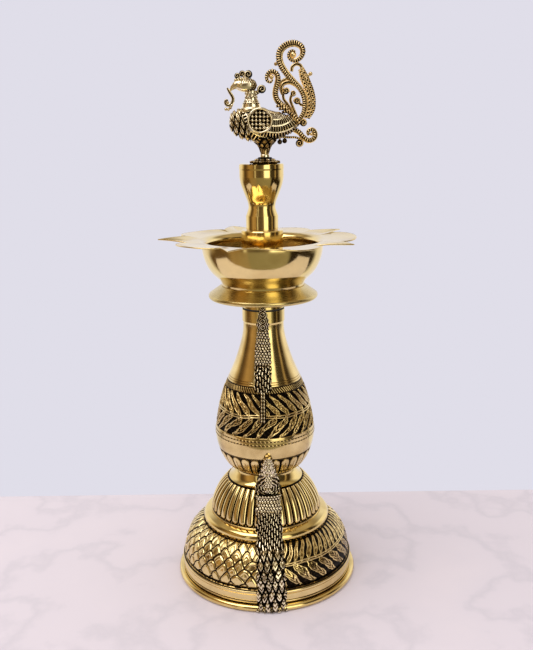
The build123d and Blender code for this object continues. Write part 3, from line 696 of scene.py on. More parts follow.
def cast_strip(name, body, node, half_width, relief, rows, columns, thick):
    """Casting in front of a turned surface: the CAD node's own front, with relief(x, z).

    x is the distance from the casting's middle line, and half_width(z) its half width.
    """
    low, high = height_range(node)
    levels, radii = outside(node)
    z = np.linspace(low + 0.05, high - 0.05, rows)
    r = without_dips(np.interp(z, levels, radii), rows // 18)
    r = np.convolve(np.pad(r, 3, mode="edge"), np.full(7, 1 / 7.0), "valid")
    half = half_width(z)[:, None]
    share = np.linspace(-1, 1, columns)[None, :]
    x = share * half
    slope = np.gradient(r, z)
    normal = np.hypot(1.0, slope)
    height, recess = relief(x, z[:, None])
    depth = 1.0 / (1.0 + 0.5 * np.abs(slope[:, None]))
    height = np.minimum(height, 0.0) * depth - 0.75 * thick * (1 - bump(share, 1.06)) ** 1.2
    away = np.sqrt(np.maximum(r[:, None] ** 2 - x ** 2, 1.0)) + height / normal[:, None]
    up = z[:, None] - height * (slope / normal)[:, None]
    away = np.hstack([away, np.repeat(r[:, None] - thick, 2, 1)])
    up = np.clip(np.hstack([up, np.repeat(z[:, None], 2, 1)]), low, high)
    x = np.hstack([x, half, -half])
    recess = np.hstack([np.broadcast_to(recess, height.shape), np.full((rows, 2), 0.9)])
    turn = radians(BASE_CASTING if body == "base" else STEM_CASTING)
    points = np.stack([away * cos(turn) - x * sin(turn), away * sin(turn) + x * cos(turn), up], -1)
    shape = Shape()
    shape.tube(points, recess)
    shape.piece(name, body, "antique_brass", ANTIQUE, node)


def beads(x, z, pitch, size=0.46):
    """Uneven staggered rows of beads and short curls on a dark ground."""
    bent_x = x + 0.35 * wobble(x, z, 2.6, 0.9)
    bent_z = z + 0.45 * wobble(z, x, 2.9, 2.2)
    row = np.round(bent_z / (0.86 * pitch))
    shift = 0.5 * pitch * (row % 2)
    dx = bent_x - shift - np.round((bent_x - shift) / pitch) * pitch
    dz = bent_z - row * 0.86 * pitch
    bead = bump(np.hypot(dx, dz), size * pitch)
    return -1.0 + 1.0 * bead, unit(1.0 - 1.35 * bead)


def feather_eyes(x, z, pitch, rise):
    """Overlapping long feathers that hang down, each with a bright rim and a middle rib."""
    bent_x = x + 0.9 * wobble(x, z, 4.5, 0.7)
    bent_z = -z + 1.0 * wobble(z, x, 5.0, 1.9)
    height, recess = scales(bent_x, bent_z, pitch, rise, 1.0, 1.8, 0.8)
    column = bent_x - np.round(bent_x / (0.5 * pitch)) * 0.5 * pitch
    barbs = soft(wave((np.abs(column) * 1.6 + bent_z) / 3.6), 0.65, 0.25)
    dark = soft(wobble(x * 2.0, z, 3.1, 0.2), -0.2, 0.8)
    height = 2.0 * height - 0.9 - 0.6 * barbs
    return height, unit(1.3 * recess + 0.55 * barbs + 0.3 * dark - 0.1)


def strands(x, z, pitch):
    """Long combed feathers, bent here and there."""
    bent = x + 0.7 * wobble(x, z, 3.4) + 0.3 * np.sin(z / 1.3)
    comb = soft(wave(bent / pitch), 0.25, 0.8)
    nick = soft(wave(z / 5.2 + np.round(bent / pitch) * 0.37), 0.6, 0.95)
    return -0.9 * (1 - comb) - 0.5 * nick, unit(1.05 * (1 - comb) + 0.7 * nick)


def base_tail():
    low, high = height_range("base_peacock_tail")

    def half_width(z):
        wide = np.interp(z, [low, low + 12, low + 40, high], [13.0, 12.2, 11.4, 10.4])
        return wide + 0.5 * np.sin(z / 1.9) + 0.35 * np.sin(z / 0.8)

    def relief(x, z):
        eyes = feather_eyes(x, z, 6.0, 8.2)
        upper = layer(strands(x, z, 2.1), beads(x, z, 2.5), soft(z, high - 16, high - 10))
        return layer(eyes, upper, soft(z, low + 44, low + 50))

    cast_strip("base_tail_feathers", "base", "base_peacock_tail", half_width, relief, 420, 120, 4.2)


def base_bird():
    low, high = height_range("base_peacock_bird")

    def half_width(z):
        share = (z - low) / (high - low)
        places = [0.0, 0.2, 0.45, 0.66, 0.82, 0.94, 1.0]
        widths = [10.4, 10.8, 8.6, 5.8, 4.9, 4.0, 1.8]
        return np.interp(share, places, widths) + 0.4 * np.sin(z / 0.8)

    def relief(x, z):
        bent = x + 0.5 * wobble(x, z, 3.0)
        dots = beads(bent, z, 2.5, 0.5)
        away = np.hypot(x * 1.1, z - low - 8.0)
        swirl = wave((away + 0.6 * np.arctan2(z - low - 8.0, x)) / 2.6)
        scrolls = (-1.0 + 0.9 * swirl, 1.0 - swirl)
        body = layer(dots, scrolls, between(z, low - 2.0, low + 20.0, 2.0) * soft(np.abs(x), 2.6, 3.4))
        reach = high - 1.2 - z
        arch = np.maximum(line(np.abs(x) - 0.9 * np.sqrt(np.maximum(reach, 0.0)), 0.8), line(x, 0.6))
        brow = layer(dots, (0.0, 0.0), arch)
        return layer(body, brow, soft(z, high - 17.0, high - 14.0))

    cast_strip("base_bird_body", "base", "base_peacock_bird", half_width, relief, 180, 90, 9.0)


def stem_tail():
    low, high = height_range("stem_peacock_tail")
    square = low + 24.3

    def half_width(z):
        tail = np.interp(z, [square, square + 14, square + 34, high], [6.9, 7.2, 6.6, 4.6])
        rib = 2.3 + 0.45 * np.abs(np.sin(z / 1.7))
        return np.where(z > square, tail + 0.3 * np.sin(z / 0.75), rib)

    def relief(x, z):
        upper = beads(x + 0.3 * wobble(x, z, 3.0), z, 2.5, 0.44)
        lower = strands(x, z, 2.4)
        body = layer(lower, upper, soft(z, square + 17, square + 23))
        pair = bump(np.abs(x) - 1.1, 0.85)
        nick = 1 - wave(z / 2.7)
        rib = (-0.9 + 0.9 * pair - 0.3 * nick, unit(1.0 - pair + 0.4 * nick))
        return layer(rib, body, soft(z, square - 0.3, square + 0.3))

    cast_strip("stem_tail_feathers", "stem", "stem_peacock_tail", half_width, relief, 380, 72, 2.6)


def stem_bird():
    low, high = height_range("stem_peacock_bird")

    def half_width(z):
        return np.interp(z, [low, low + 6, low + 11, high], [4.8, 5.2, 4.4, 1.6]) + 0.4 * np.sin(z / 0.7)

    def relief(x, z):
        loops = wave(np.hypot(x, (z - low) % 5.6 - 2.8) / 1.6)
        return -0.9 * (1 - loops), 0.95 * (1 - loops)

    cast_strip("stem_bird_body", "stem", "stem_peacock_bird", half_width, relief, 90, 48, 2.4)


# Oil bowl


FIRST_SPOUT = -107.0         # azimuth of a wick spout
SPOUT_PITCH = 72.0
SPOUT_HALF = 13.5            # degrees from a spout's middle to the notch beside it
NOTCH_DEPTH = 22.8           # from a spout's tip
LOBE_DEPTH = 8.6
SHEET = 1.6                  # thickness of the rim's sheet in the CAD part
BOWL_FLOOR = 3.0
BOWL_COLUMNS = 1440          # points round the bowl


def petal_edge(azimuth):
    """Radius of the flower-shaped rim: a pointed wick spout between each two round lobes."""
    tip = 0.999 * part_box("oil_bowl")[0].x / -MM
    notch = tip - NOTCH_DEPTH
    lobe = tip - LOBE_DEPTH
    half_pitch = 0.5 * SPOUT_PITCH
    away = np.abs((azimuth - FIRST_SPOUT + half_pitch) % SPOUT_PITCH - half_pitch)
    foot_x = notch * cos(radians(SPOUT_HALF))
    foot_y = notch * sin(radians(SPOUT_HALF))
    turn = np.radians(away)
    spout = tip * foot_y / (np.cos(turn) * foot_y + np.sin(turn) * (tip - foot_x))
    share = unit((away - SPOUT_HALF) / (half_pitch - SPOUT_HALF))
    petal = notch + (lobe - notch) * np.sin(0.5 * pi * share) ** 0.42
    return np.where(away < SPOUT_HALF, spout, petal), 1 - unit(away / SPOUT_HALF)


def petal_bowl():
    """Turned bowl with a thin sheet rim, dished inside and bent up a little at its spouts."""
    low, high = height_range("oil_bowl")
    levels, radii = outside("oil_bowl")
    rim = high - SHEET
    floor = low + BOWL_FLOOR
    wall = levels < rim - 0.2
    z = np.linspace(low, rim - 0.3, 60)
    r = fair(levels[wall], radii[wall], z)
    mouth = r[-1]
    azimuth = np.arange(BOWL_COLUMNS) * 360.0 / BOWL_COLUMNS
    edge, spout = petal_edge(azimuth)
    turn = np.radians(azimuth)
    inner_z = np.linspace(rim - 5.5, floor, 24)
    inner_r = np.interp(inner_z, z, r) - 2.2

    def sheet(share, lift):
        wide = mouth + share * (edge - mouth)
        sway = 0.6 * np.sin(3 * turn + 0.6) + 0.5 * np.sin(7 * turn)
        fold = -0.8 * spout ** 4 * soft(share, 0.1, 0.5)
        rise = share ** 1.6 * (1.3 + sway + 1.3 * spout ** 0.7)
        return wide, rim + lift + rise + fold

    rows = list(zip(r, z))
    rows += [sheet(share, 0.25) for share in np.linspace(0.02, 0.99, 16)]
    rows.append(sheet(1.0, 0.7))
    rows += [sheet(share, 1.15) for share in np.linspace(0.99, 0.10, 18)]
    dish = ((0.6, 0.95), (-1.0, 0.55), (-2.4, -0.1), (-3.6, -1.0), (-4.4, -2.4), (-4.7, -4.0))
    rows += [(mouth + inwards, rim + lift) for inwards, lift in dish]
    inside = len(rows) + 1
    rows += list(zip(inner_r, inner_z))
    rows += [(28.0, floor), (20.0, floor), (8.2, floor), (8.2, low)]
    wide = np.array([row[0] + 0 * turn for row in rows])
    up = np.array([row[1] + 0 * turn for row in rows])
    recess = np.zeros(wide.shape)
    recess[inside:-1] = 0.36
    shape = Shape()
    shape.ring(round_axis(wide, turn, up), recess)
    shape.piece("petal_bowl", "bowl", "polished_brass", PETAL, "oil_bowl")


# Peacock finial. Places are (x, height above the pillar), as in the CAD part


def lifted(points):
    """Path points raised from the pillar's top to the lamp's own heights."""
    rise = height_range("peacock_pillar")[1]
    return [(x, z + rise) for x, z in points]


def bead(shape, place, radius, recess=0.1, squash=(1.0, 1.0, 1.0), rings=10):
    """Ball in the peacock's middle plane."""
    x, z = lifted([place])[0]
    ball(shape, (x, 0, z), radius, recess, squash, rings)


def ribbed(pitch, outer):
    """Form of a plume: deep ribs on its outer side and a smooth rail on its inner side."""

    def form(along, across):
        rib = wave(along / pitch)
        side = across * outer
        ribs = soft(side, -0.42, -0.15)
        groove = line(side + 0.50, 0.20)
        gap = (1 - rib) * ribs
        return 1 - 0.26 * gap - 0.22 * groove, unit(1.1 * gap - 0.05 + 0.9 * groove)

    return form


def twin_rail(along, across):
    """Form of a bar with a groove down its middle."""
    groove = line(across, 0.42)
    return 1 - 0.3 * groove + 0 * along, 0.1 + 0.85 * groove + 0 * along


def notched(pitch):
    """Form of a thin wire with fine nicks."""

    def form(along, across):
        nick = 1 - wave(along / pitch)
        return 1 - 0.14 * nick + 0 * across, 0.1 + 0.6 * nick + 0 * across

    return form


PLUME_STEP = 0.22            # between the points of a plume's path
CURL_TURNS = 1.4             # of the wire in each curl


def plume(shape, points, half_width, half_depth, form, sides=24):
    """Bar along the given places; half_width may be a list, spread evenly from end to end."""
    points = lifted(points)
    path = through(points, max(12, int(walked(points)[-1] / PLUME_STEP)))
    if isinstance(half_width, (list, tuple)):
        spread = np.linspace(0, 1, len(half_width))
        half_width = np.interp(np.linspace(0, 1, len(path)), spread, half_width)
    ribbon(shape, path, half_width, half_depth, form, sides)


def curl(shape, place, radius, wire, start, depth, way):
    """Wire wound into a spiral that stands out from a thin dark disc."""
    x, z = lifted([place])[0]
    angle = start + way * np.linspace(0, 2 * pi * CURL_TURNS, int(40 * CURL_TURNS))
    shrink = np.linspace(1.0, 0.12, len(angle)) * (radius - 0.5 * wire)
    path = np.stack([x + shrink * np.cos(angle), z + shrink * np.sin(angle)], 1)
    ribbon(shape, path, np.linspace(1.0, 0.6, len(angle)) * 0.62 * wire, depth)
    ball(shape, (x, 0, z), 0.86 * radius, 1.0, (1, 0.4, 1))


def wire_ring(shape, place, radius, wire, depth):
    """Closed loop of wire in the peacock's middle plane."""
    x, z = place
    angle = full_turn(40).T
    turn = full_turn(10)
    r = radius + wire * np.cos(turn)
    points = np.stack([x + r * np.cos(angle), depth * np.sin(turn) + 0 * angle, z + r * np.sin(angle)], -1)
    shape.ring(points, 0.12)


def tall_plume(shape):
    plume(shape, [
        (28.2, 70.2), (26.0, 71.4), (23.3, 69.8), (22.9, 66.6), (25.2, 64.2), (28.9, 63.9), (32.5, 66.2),
        (34.2, 70.4), (33.0, 74.2), (29.4, 76.5), (25.2, 76.9), (19.8, 75.0), (16.1, 71.0), (15.3, 66.0),
        (16.7, 60.6), (20.5, 54.6), (26.0, 48.4), (31.6, 42.4), (34.6, 36.6), (35.6, 30.0), (34.4, 23.4),
        (30.0, 17.0),
    ], [1.0, 1.7, 2.4, 2.9, 3.0, 2.9, 2.6, 2.3, 2.3, 2.0], 2.3, ribbed(1.7, 1))
    bead(shape, (26.4, 68.2), 2.6, 0.0, (1, 0.85, 1), 16)
    bead(shape, (12.6, 61.4), 1.5, 0.4)


def short_plume(shape):
    plume(shape, [
        (10.0, 49.6), (8.2, 47.6), (5.8, 48.6), (5.2, 51.6), (6.6, 54.5), (9.6, 55.8), (12.8, 54.3),
        (14.3, 50.8), (13.8, 46.6), (12.5, 42.2), (12.1, 38.2), (13.3, 34.2), (16.4, 30.8), (20.6, 28.0),
        (25.0, 23.4),
    ], [0.9, 1.6, 2.1, 2.4, 2.6, 2.6, 2.6, 2.3, 2.0], 2.3, ribbed(1.7, -1))
    bead(shape, (9.0, 51.6), 1.9, 0.05, (1, 0.9, 1), 14)


def crook(shape):
    plume(shape, [
        (17.6, 38.0), (16.6, 42.4), (18.6, 46.2), (23.0, 47.4), (28.2, 45.4), (33.0, 40.6),
    ], [1.2, 1.8, 1.9, 1.7], 1.8, twin_rail, sides=16)
    plume(shape, [
        (14.6, 44.6), (17.6, 48.6), (22.6, 50.2), (27.0, 48.4),
    ], [0.7, 1.1, 1.0], 1.5, twin_rail, sides=16)


def dark_strip(along, across):
    """Form of a flat blackened backing."""
    return 1.0, 0.95 + 0 * along * across


def lace(shape):
    """Outer lacework: a dark strip with two staggered rows of rings, a rail and a beaded edge."""
    points = lifted([
        (32.8, 57.6), (34.8, 52.0), (37.5, 45.6), (39.8, 39.4), (40.9, 32.6), (40.3, 26.0), (37.2, 19.6),
    ])
    steps = 240
    path = through(points, steps)
    side = right_of(path)
    taper = np.interp(np.linspace(0, 1, steps), [0, 0.18, 0.8, 1], [0.6, 1.0, 1.0, 0.6])[:, None]
    ribbon(shape, path, 3.3 * taper[:, 0], 0.6, dark_strip)
    count = int(walked(path)[-1] / 3.0)
    for i in range(2 * count):
        at = min(steps - 1, int((i + 0.5) * steps / (2 * count)))
        x, z = path[at] + side[at] * taper[at] * (1.7 if i % 2 else -1.3)
        wire_ring(shape, (x, z), 1.15, 0.55, 1.5)
        x, z = path[at] + side[at] * taper[at] * 3.3
        ball(shape, (x, 0, z), 0.75, 0.0, (1, 1.5, 1), 8)
    ribbon(shape, path - side * taper * 3.0, 0.6, 1.6, notched(1.8), 8)
    plume(shape, [
        (25.0, 55.6), (25.9, 59.4), (29.0, 61.2), (32.4, 59.8), (33.4, 55.6),
    ], 1.4, 1.6, twin_rail, sides=14)
    bead(shape, (40.2, 53.6), 1.6, 0.2)
    plume(shape, [(36.0, 50.6), (37.8, 52.2), (39.8, 53.2)], 1.2, 1.2, None, sides=10)


def filigree(shape):
    """Small curls between the plumes, and the leafy cluster that ties them to the back."""
    plume(shape, [(18.2, 38.6), (18.6, 34.8), (21.6, 30.6), (26.4, 23.0)], 1.2, 1.5, twin_rail, sides=14)
    plume(shape, [(25.0, 37.6), (24.0, 34.0), (25.8, 28.6), (29.2, 20.6)], 1.2, 1.5, twin_rail, sides=14)
    plume(shape, [(31.0, 31.4), (32.4, 30.0), (34.6, 29.4)], 1.1, 1.4, twin_rail, sides=14)
    curl(shape, (20.4, 40.8), 3.2, 1.2, -0.4, 1.7, 1)
    curl(shape, (26.4, 38.6), 2.6, 1.0, 2.6, 1.6, -1)
    curl(shape, (29.4, 33.0), 3.2, 1.2, 3.4, 1.7, -1)
    for lift in (0.0, 2.2, 4.6):
        leaf = [(x + lift, z - lift) for x, z in ((12.4, 28.8), (17.0, 29.4), (22.0, 26.0), (27.0, 19.6))]
        plume(shape, leaf, [1.0, 2.1, 2.3, 1.8], 3.2 + 0.4 * lift, notched(2.2), sides=16)


def low_plume(shape):
    plume(shape, [
        (20.0, 11.6), (26.4, 10.8), (31.0, 8.4), (34.6, 4.4), (38.4, 2.0), (42.2, 2.9), (44.0, 6.4),
        (42.6, 9.8), (39.8, 10.4), (38.0, 8.2), (39.0, 6.0),
    ], [2.3, 2.3, 2.3, 2.3, 2.2, 1.9, 1.3], 2.1, ribbed(1.9, -1))
    bead(shape, (41.0, 7.0), 1.5, 0.05)


def low_curls(shape):
    plume(shape, [(16.0, 5.0), (22.0, 4.6), (28.0, 4.4), (33.0, 2.6)], 1.0, 1.4, notched(1.6), sides=12)
    curl(shape, (31.2, -0.2), 3.6, 1.2, 0.9, 1.7, -1)
    curl(shape, (34.4, 16.0), 3.5, 1.3, 2.9, 1.7, -1)
    plume(shape, [(26.0, 14.8), (29.0, 15.0), (32.0, 16.0)], 1.3, 1.6, notched(1.6), sides=12)


def drops(shape):
    for place in lifted([(15.2, 1.0), (19.2, 1.8)]):
        ball(shape, (place[0], 0, place[1]), 2.0, 0.62)
        ribbon(shape, [(place[0], place[1] + 1.4), (place[0], place[1] + 6.0)], 0.8, 0.8)


def nape(shape):
    curl(shape, (1.2, 42.4), 3.9, 1.4, 3.6, 2.0, -1)
    plume(shape, [(-6.0, 37.6), (-3.6, 38.8), (-1.4, 40.4)], 1.5, 1.9, notched(1.6), sides=12)


def beak_garland(shape):
    plume(shape, [
        (-26.4, 43.6), (-24.8, 40.6), (-22.8, 37.6), (-21.9, 34.6), (-23.4, 31.4), (-26.8, 30.2),
        (-28.3, 32.2), (-27.8, 34.2), (-25.9, 34.0),
    ], [0.8, 1.3, 1.4, 1.3, 1.1, 0.7], 1.5, twin_rail, sides=14)
    for place in ((-26.4, 32.4), (-27.9, 27.2), (-25.9, 27.0), (-24.2, 28.2), (-23.2, 30.2)):
        bead(shape, place, 1.25, 0.2, (1, 1.2, 1))


def crest(shape):
    """Three curled crest loops over a row of small beads."""
    curl(shape, (-18.2, 52.8), 2.7, 1.0, -1.2, 1.6, 1)
    curl(shape, (-14.2, 54.4), 2.9, 1.1, -1.4, 1.7, 1)
    curl(shape, (-9.4, 53.8), 3.8, 1.3, -1.6, 1.8, -1)
    for i in range(7):
        bead(shape, (-19.6 + 2.0 * i, 49.6 + 0.9 * sin(i * 0.55)), 1.35, 0.1)


def turned_x(shape, outline, rise, squeeze, relief, rows=240, columns=300, lift=0.0):
    """Body turned about a line along X, raised by lift at its front, with relief(x, up)."""
    path = through(outline, rows)
    x = path[:, :1]
    r = np.maximum(path[:, 1:], 0.05)
    angle = full_turn(columns)
    height, recess = relief(x, r * np.sin(angle))
    fade = soft(r, 0.5, 3.0)
    out = r + height * fade
    centre = height_range("peacock_pillar")[1] + rise + lift * soft(-x, 6.0, 24.0)
    points = np.stack([x + 0 * angle, out * np.cos(angle) * squeeze, centre + out * np.sin(angle)], -1)
    shape.tube(points, recess)


def body_feathers(x, up):
    """Leaf scales on the chest, then bowed rows of small cells behind the wing."""
    away = np.hypot(x - 12.0, up - 20.0)
    turn = np.arctan2(x - 12.0, 20.0 - up)
    band = (away - 20.8) / 5.3
    rail = line(band - np.round(band), 0.19)
    cell = soft(wave(turn * 26.0 / 2.2), 0.35, 0.8)
    lit = np.maximum(rail, 0.85 * cell)
    ladder = (-1.1 + 1.1 * lit, unit(1.05 - 1.1 * lit))
    leaf = scales(x + 0.3 * up, -up, 4.8, 5.2, 0.9, 1.5, 0.8)
    barbs = 1 - wave((x + 0.3 * up) / 1.6)
    leaf_height = np.minimum(1.7 * leaf[0] - 0.7, 0.5) - 0.3 * barbs
    leaf = (leaf_height, unit(1.2 * leaf[1] + 0.45 * barbs - 0.05))
    chest = 1 - soft(x + 0.35 * up, -12.5, -10.5)
    return layer(ladder, leaf, chest)


def bird_body(shape):
    outline = [
        (-25.6, 0.0), (-24.6, 6.0), (-20.8, 9.8), (-9.0, 12.9), (5.0, 12.8), (18.0, 9.6), (27.0, 5.6),
        (31.0, 0.0)]
    turned_x(shape, outline, 14.2, 0.8, body_feathers, lift=2.6)


def wing_shield(shape, node, side):
    """Round shield with a plain rim, a net of small cells and a little scroll."""
    low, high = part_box(node)
    x0 = middle_x(node)
    z0 = 0.5 * (low.z + high.z) / MM
    radius = 0.5 * (high.z - low.z) / MM
    outer = (high.y if side > 0 else -low.y) / MM
    r = np.linspace(0.05, radius - 0.05, 90)[:, None]
    angle = full_turn(220)
    x = r * np.cos(angle)
    z = r * np.sin(angle)
    rim = bump(r - radius + 1.15, 1.1)
    dx = x - np.round(x / 3.0) * 3.0
    dz = z - np.round(z / 3.0) * 3.0
    wires = np.maximum(line(dx, 0.6), line(dz, 0.6))
    net = np.maximum(0.55 * wires, bump(np.hypot(dx, dz), 1.15))
    curve = z - 3.0 - 2.4 * np.sin((x - 1.5) / 2.2)
    scroll = line(curve, 1.2) * soft(x, -0.5, 0.5)
    raised = np.maximum(net * 0.8, scroll)
    raised = np.where(r < radius - 2.2, raised, 0.0)
    height = -2.0 + 1.1 * raised
    height = np.maximum(height + 0 * angle, -2.0 + 2.0 * rim)
    recess = unit(1.0 - 1.4 * raised)
    recess = np.minimum(recess, 1 - 1.3 * rim)
    recess = unit(recess)
    y = side * (outer - 0.05 + height)
    points = np.stack([x0 + x, y, z0 + z], -1)
    back = np.stack([x0 + x[-1:], 0 * x[-1:] + side * (outer - 4.6), z0 + z[-1:]], -1)
    points = np.concatenate([points, back])
    recess = np.vstack([recess, np.full((1, 220), 0.8)])
    shape.tube(points if side > 0 else points[:, ::-1], recess)


def neck(shape):
    """Smooth lower neck, then beaded collars up to the head."""
    low, high = height_range("peacock_neck")
    z = np.linspace(low + 0.1, high - 0.1, 120)[:, None]
    share = (z - low) / (high - low)
    shares = [0, 0.08, 0.16, 0.22, 0.42, 0.52, 0.75, 1.0]
    r = np.interp(share, shares, [9.6, 9.8, 9.4, 7.6, 6.9, 5.8, 5.2, 5.0])
    angle = full_turn(144)
    collar = np.maximum(line(share - 0.50, 0.05), line(share - 0.40, 0.04))
    beading = wave(angle * 18 / (2 * pi))
    upper = soft(share, 0.54, 0.58)
    leaf = scales(angle * 5.0, z, 3.2, 2.6)
    height = upper * (1.6 * leaf[0] - 0.5) + 0.45 * beading * collar - 0.3 * line(share - 0.45, 0.03)
    recess = unit(upper * (1.2 * leaf[1] + 0.1) + 0.8 * collar * (1 - beading))
    out = r + np.minimum(height, 0.0)
    shape.tube(round_axis(out, angle, z, middle_x("peacock_neck"), 0.85), recess)


def head(shape):
    """Rounded head with a polished cheek and a hooked beak."""

    def cheek(x, up):
        feathers = scales(x * 1.4, up, 2.6, 2.0)
        edge = soft(up, 1.6, 2.4) + soft(x, -8.0, -6.6)
        mask = unit(edge)
        return -0.25 * mask + mask * 0.9 * np.minimum(feathers[0], 0), unit(mask * (feathers[1] + 0.25))

    skull = [(-21.6, 0.0), (-20.0, 2.1), (-15.8, 4.7), (-9.4, 5.4), (-4.0, 3.8), (-2.4, 0.0)]
    turned_x(shape, skull, 45.4, 0.86, cheek, 90, 120)
    beak = through(lifted([(-15.0, 46.4), (-19.0, 45.8), (-22.0, 43.9), (-24.6, 40.8)]), 30)
    width = np.interp(np.linspace(0, 1, 30), [0, 0.35, 0.7, 1], [3.4, 3.3, 1.9, 0.3])
    ribbon(shape, beak, width, np.minimum(width, 3.0), None, 16)
    for side in (-1, 1):
        x, z = lifted([(-15.4, 46.6)])[0]
        ball(shape, (x, side * 3.9, z), 0.9, 0.0)


def legs(shape):
    """Feathered legs: a funnel under the body that narrows to a plain ankle."""
    low, high = height_range("peacock_pillar")
    z = np.linspace(low + 0.05, high + 3.5, 90)[:, None]
    rise = z - high
    r = np.interp(rise, [-11.0, -9.3, -8.4, -4.3, -1.4, 1.0, 3.5], [3.9, 3.9, 3.3, 4.7, 6.4, 8.8, 10.6])
    angle = full_turn(144)
    leaf = scales(angle * 5.0, z, 3.9, 3.2, 0.8, 1.7, 0.5)
    feathered = soft(rise, -8.8, -8.2)
    out = r + np.minimum(1.8 * leaf[0] - 0.5, 0.0) * feathered
    recess = unit(1.2 * leaf[1] + 0.42) * feathered
    shape.tube(round_axis(out, angle, z, middle_x("peacock_pillar"), 0.85), recess)


def leaf_blade(shape, centre, turn, length, width, lift):
    """Pointed leaf lying outwards from a centre, with a sunk middle vein."""
    along = np.linspace(0, 1, 24)[:, None]
    across = np.linspace(-1, 1, 13)[None, :]
    half = width * np.sin(pi * unit(0.1 + 0.9 * along) ** 0.8) + 0.05
    x = 2.0 + length * along
    y = across * half
    top = centre[2] + lift * np.sin(pi * along * 0.8) + 0.7 * (1 - across ** 2) - 0.5 * line(across, 0.3)
    under = np.full_like(y, centre[2] - 0.2)
    edge = wave(along * 5) * 0.25 * np.abs(across)
    recess = unit(0.2 + 0.7 * line(across, 0.35) + edge)
    around_x = np.hstack([x + 0 * y, (x + 0 * y)[:, ::-1]])
    around_y = np.hstack([y, y[:, ::-1]])
    around_z = np.hstack([np.maximum(top, centre[2]), under])
    rim = np.hstack([recess, np.full_like(recess, 0.8)])
    px = centre[0] + around_x * cos(turn) - around_y * sin(turn)
    py = centre[1] + around_x * sin(turn) + around_y * cos(turn)
    shape.tube(np.stack([px, py, around_z], -1), rim)


def rosette(shape):
    """Leafy flower under the bird, in two tiers."""
    low, high = height_range("lotus_rosette")
    x0 = middle_x("lotus_rosette")
    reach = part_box("lotus_rosette")[1].x / MM - x0
    outline = [(3.2, low), (9.0, low), (9.4, low + 1.2), (7.0, low + 2.6), (5.4, high), (3.2, high)]
    lathe(shape, outline, 96, 0.85, x0)
    for i in range(10):
        leaf_blade(shape, (x0, 0, low + 0.4), 2 * pi * i / 10, reach - 2.2, 3.0, 1.6)
    for i in range(8):
        leaf_blade(shape, (x0, 0, low + 1.9), 2 * pi * (i + 0.5) / 8, 0.72 * reach - 2.0, 2.4, 1.5)


def peacock():
    """Each piece as its function, name, material and the CAD node that it stands for."""
    pieces = (
        (bird_body, "bird_body", ANTIQUE, "peacock_body"),
        (neck, "bird_neck", ANTIQUE, "peacock_neck"),
        (head, "bird_head", ANTIQUE, "peacock_head"),
        (crest, "crest_curls", ANTIQUE, "peacock_crest"),
        (nape, "nape_scroll", ANTIQUE, "nape_curl"),
        (beak_garland, "beak_garland", ANTIQUE, "beak_scroll"),
        (legs, "bird_legs", ANTIQUE, "peacock_pillar"),
        (rosette, "rosette_leaves", ANTIQUE, "lotus_rosette"),
        (tall_plume, "plume_tall", PLUME, "tail_tall_plume"),
        (short_plume, "plume_short", PLUME, "tail_short_plume"),
        (crook, "plume_crook", PLUME, "tail_crook"),
        (lace, "plume_lace", PLUME, "tail_lace"),
        (filigree, "plume_filigree", PLUME, "tail_filigree"),
        (low_plume, "plume_low", PLUME, "tail_low_plume"),
        (low_curls, "low_curls", PLUME, "tail_low_curls"),
        (drops, "hanging_drops", ANTIQUE, "tail_drops"),
    )
    for draw, name, material, node in pieces:
        shape = Shape()
        draw(shape)
        shape.piece(name, "finial", "antique_brass", material, node)
    for side, hand in ((-1, "left"), (1, "right")):
        shape = Shape()
        wing_shield(shape, "wing_" + hand, side)
        shape.piece("wing_shield_" + hand, "finial", "antique_brass", ANTIQUE, "wing_" + hand)


# World, floor, lights and camera


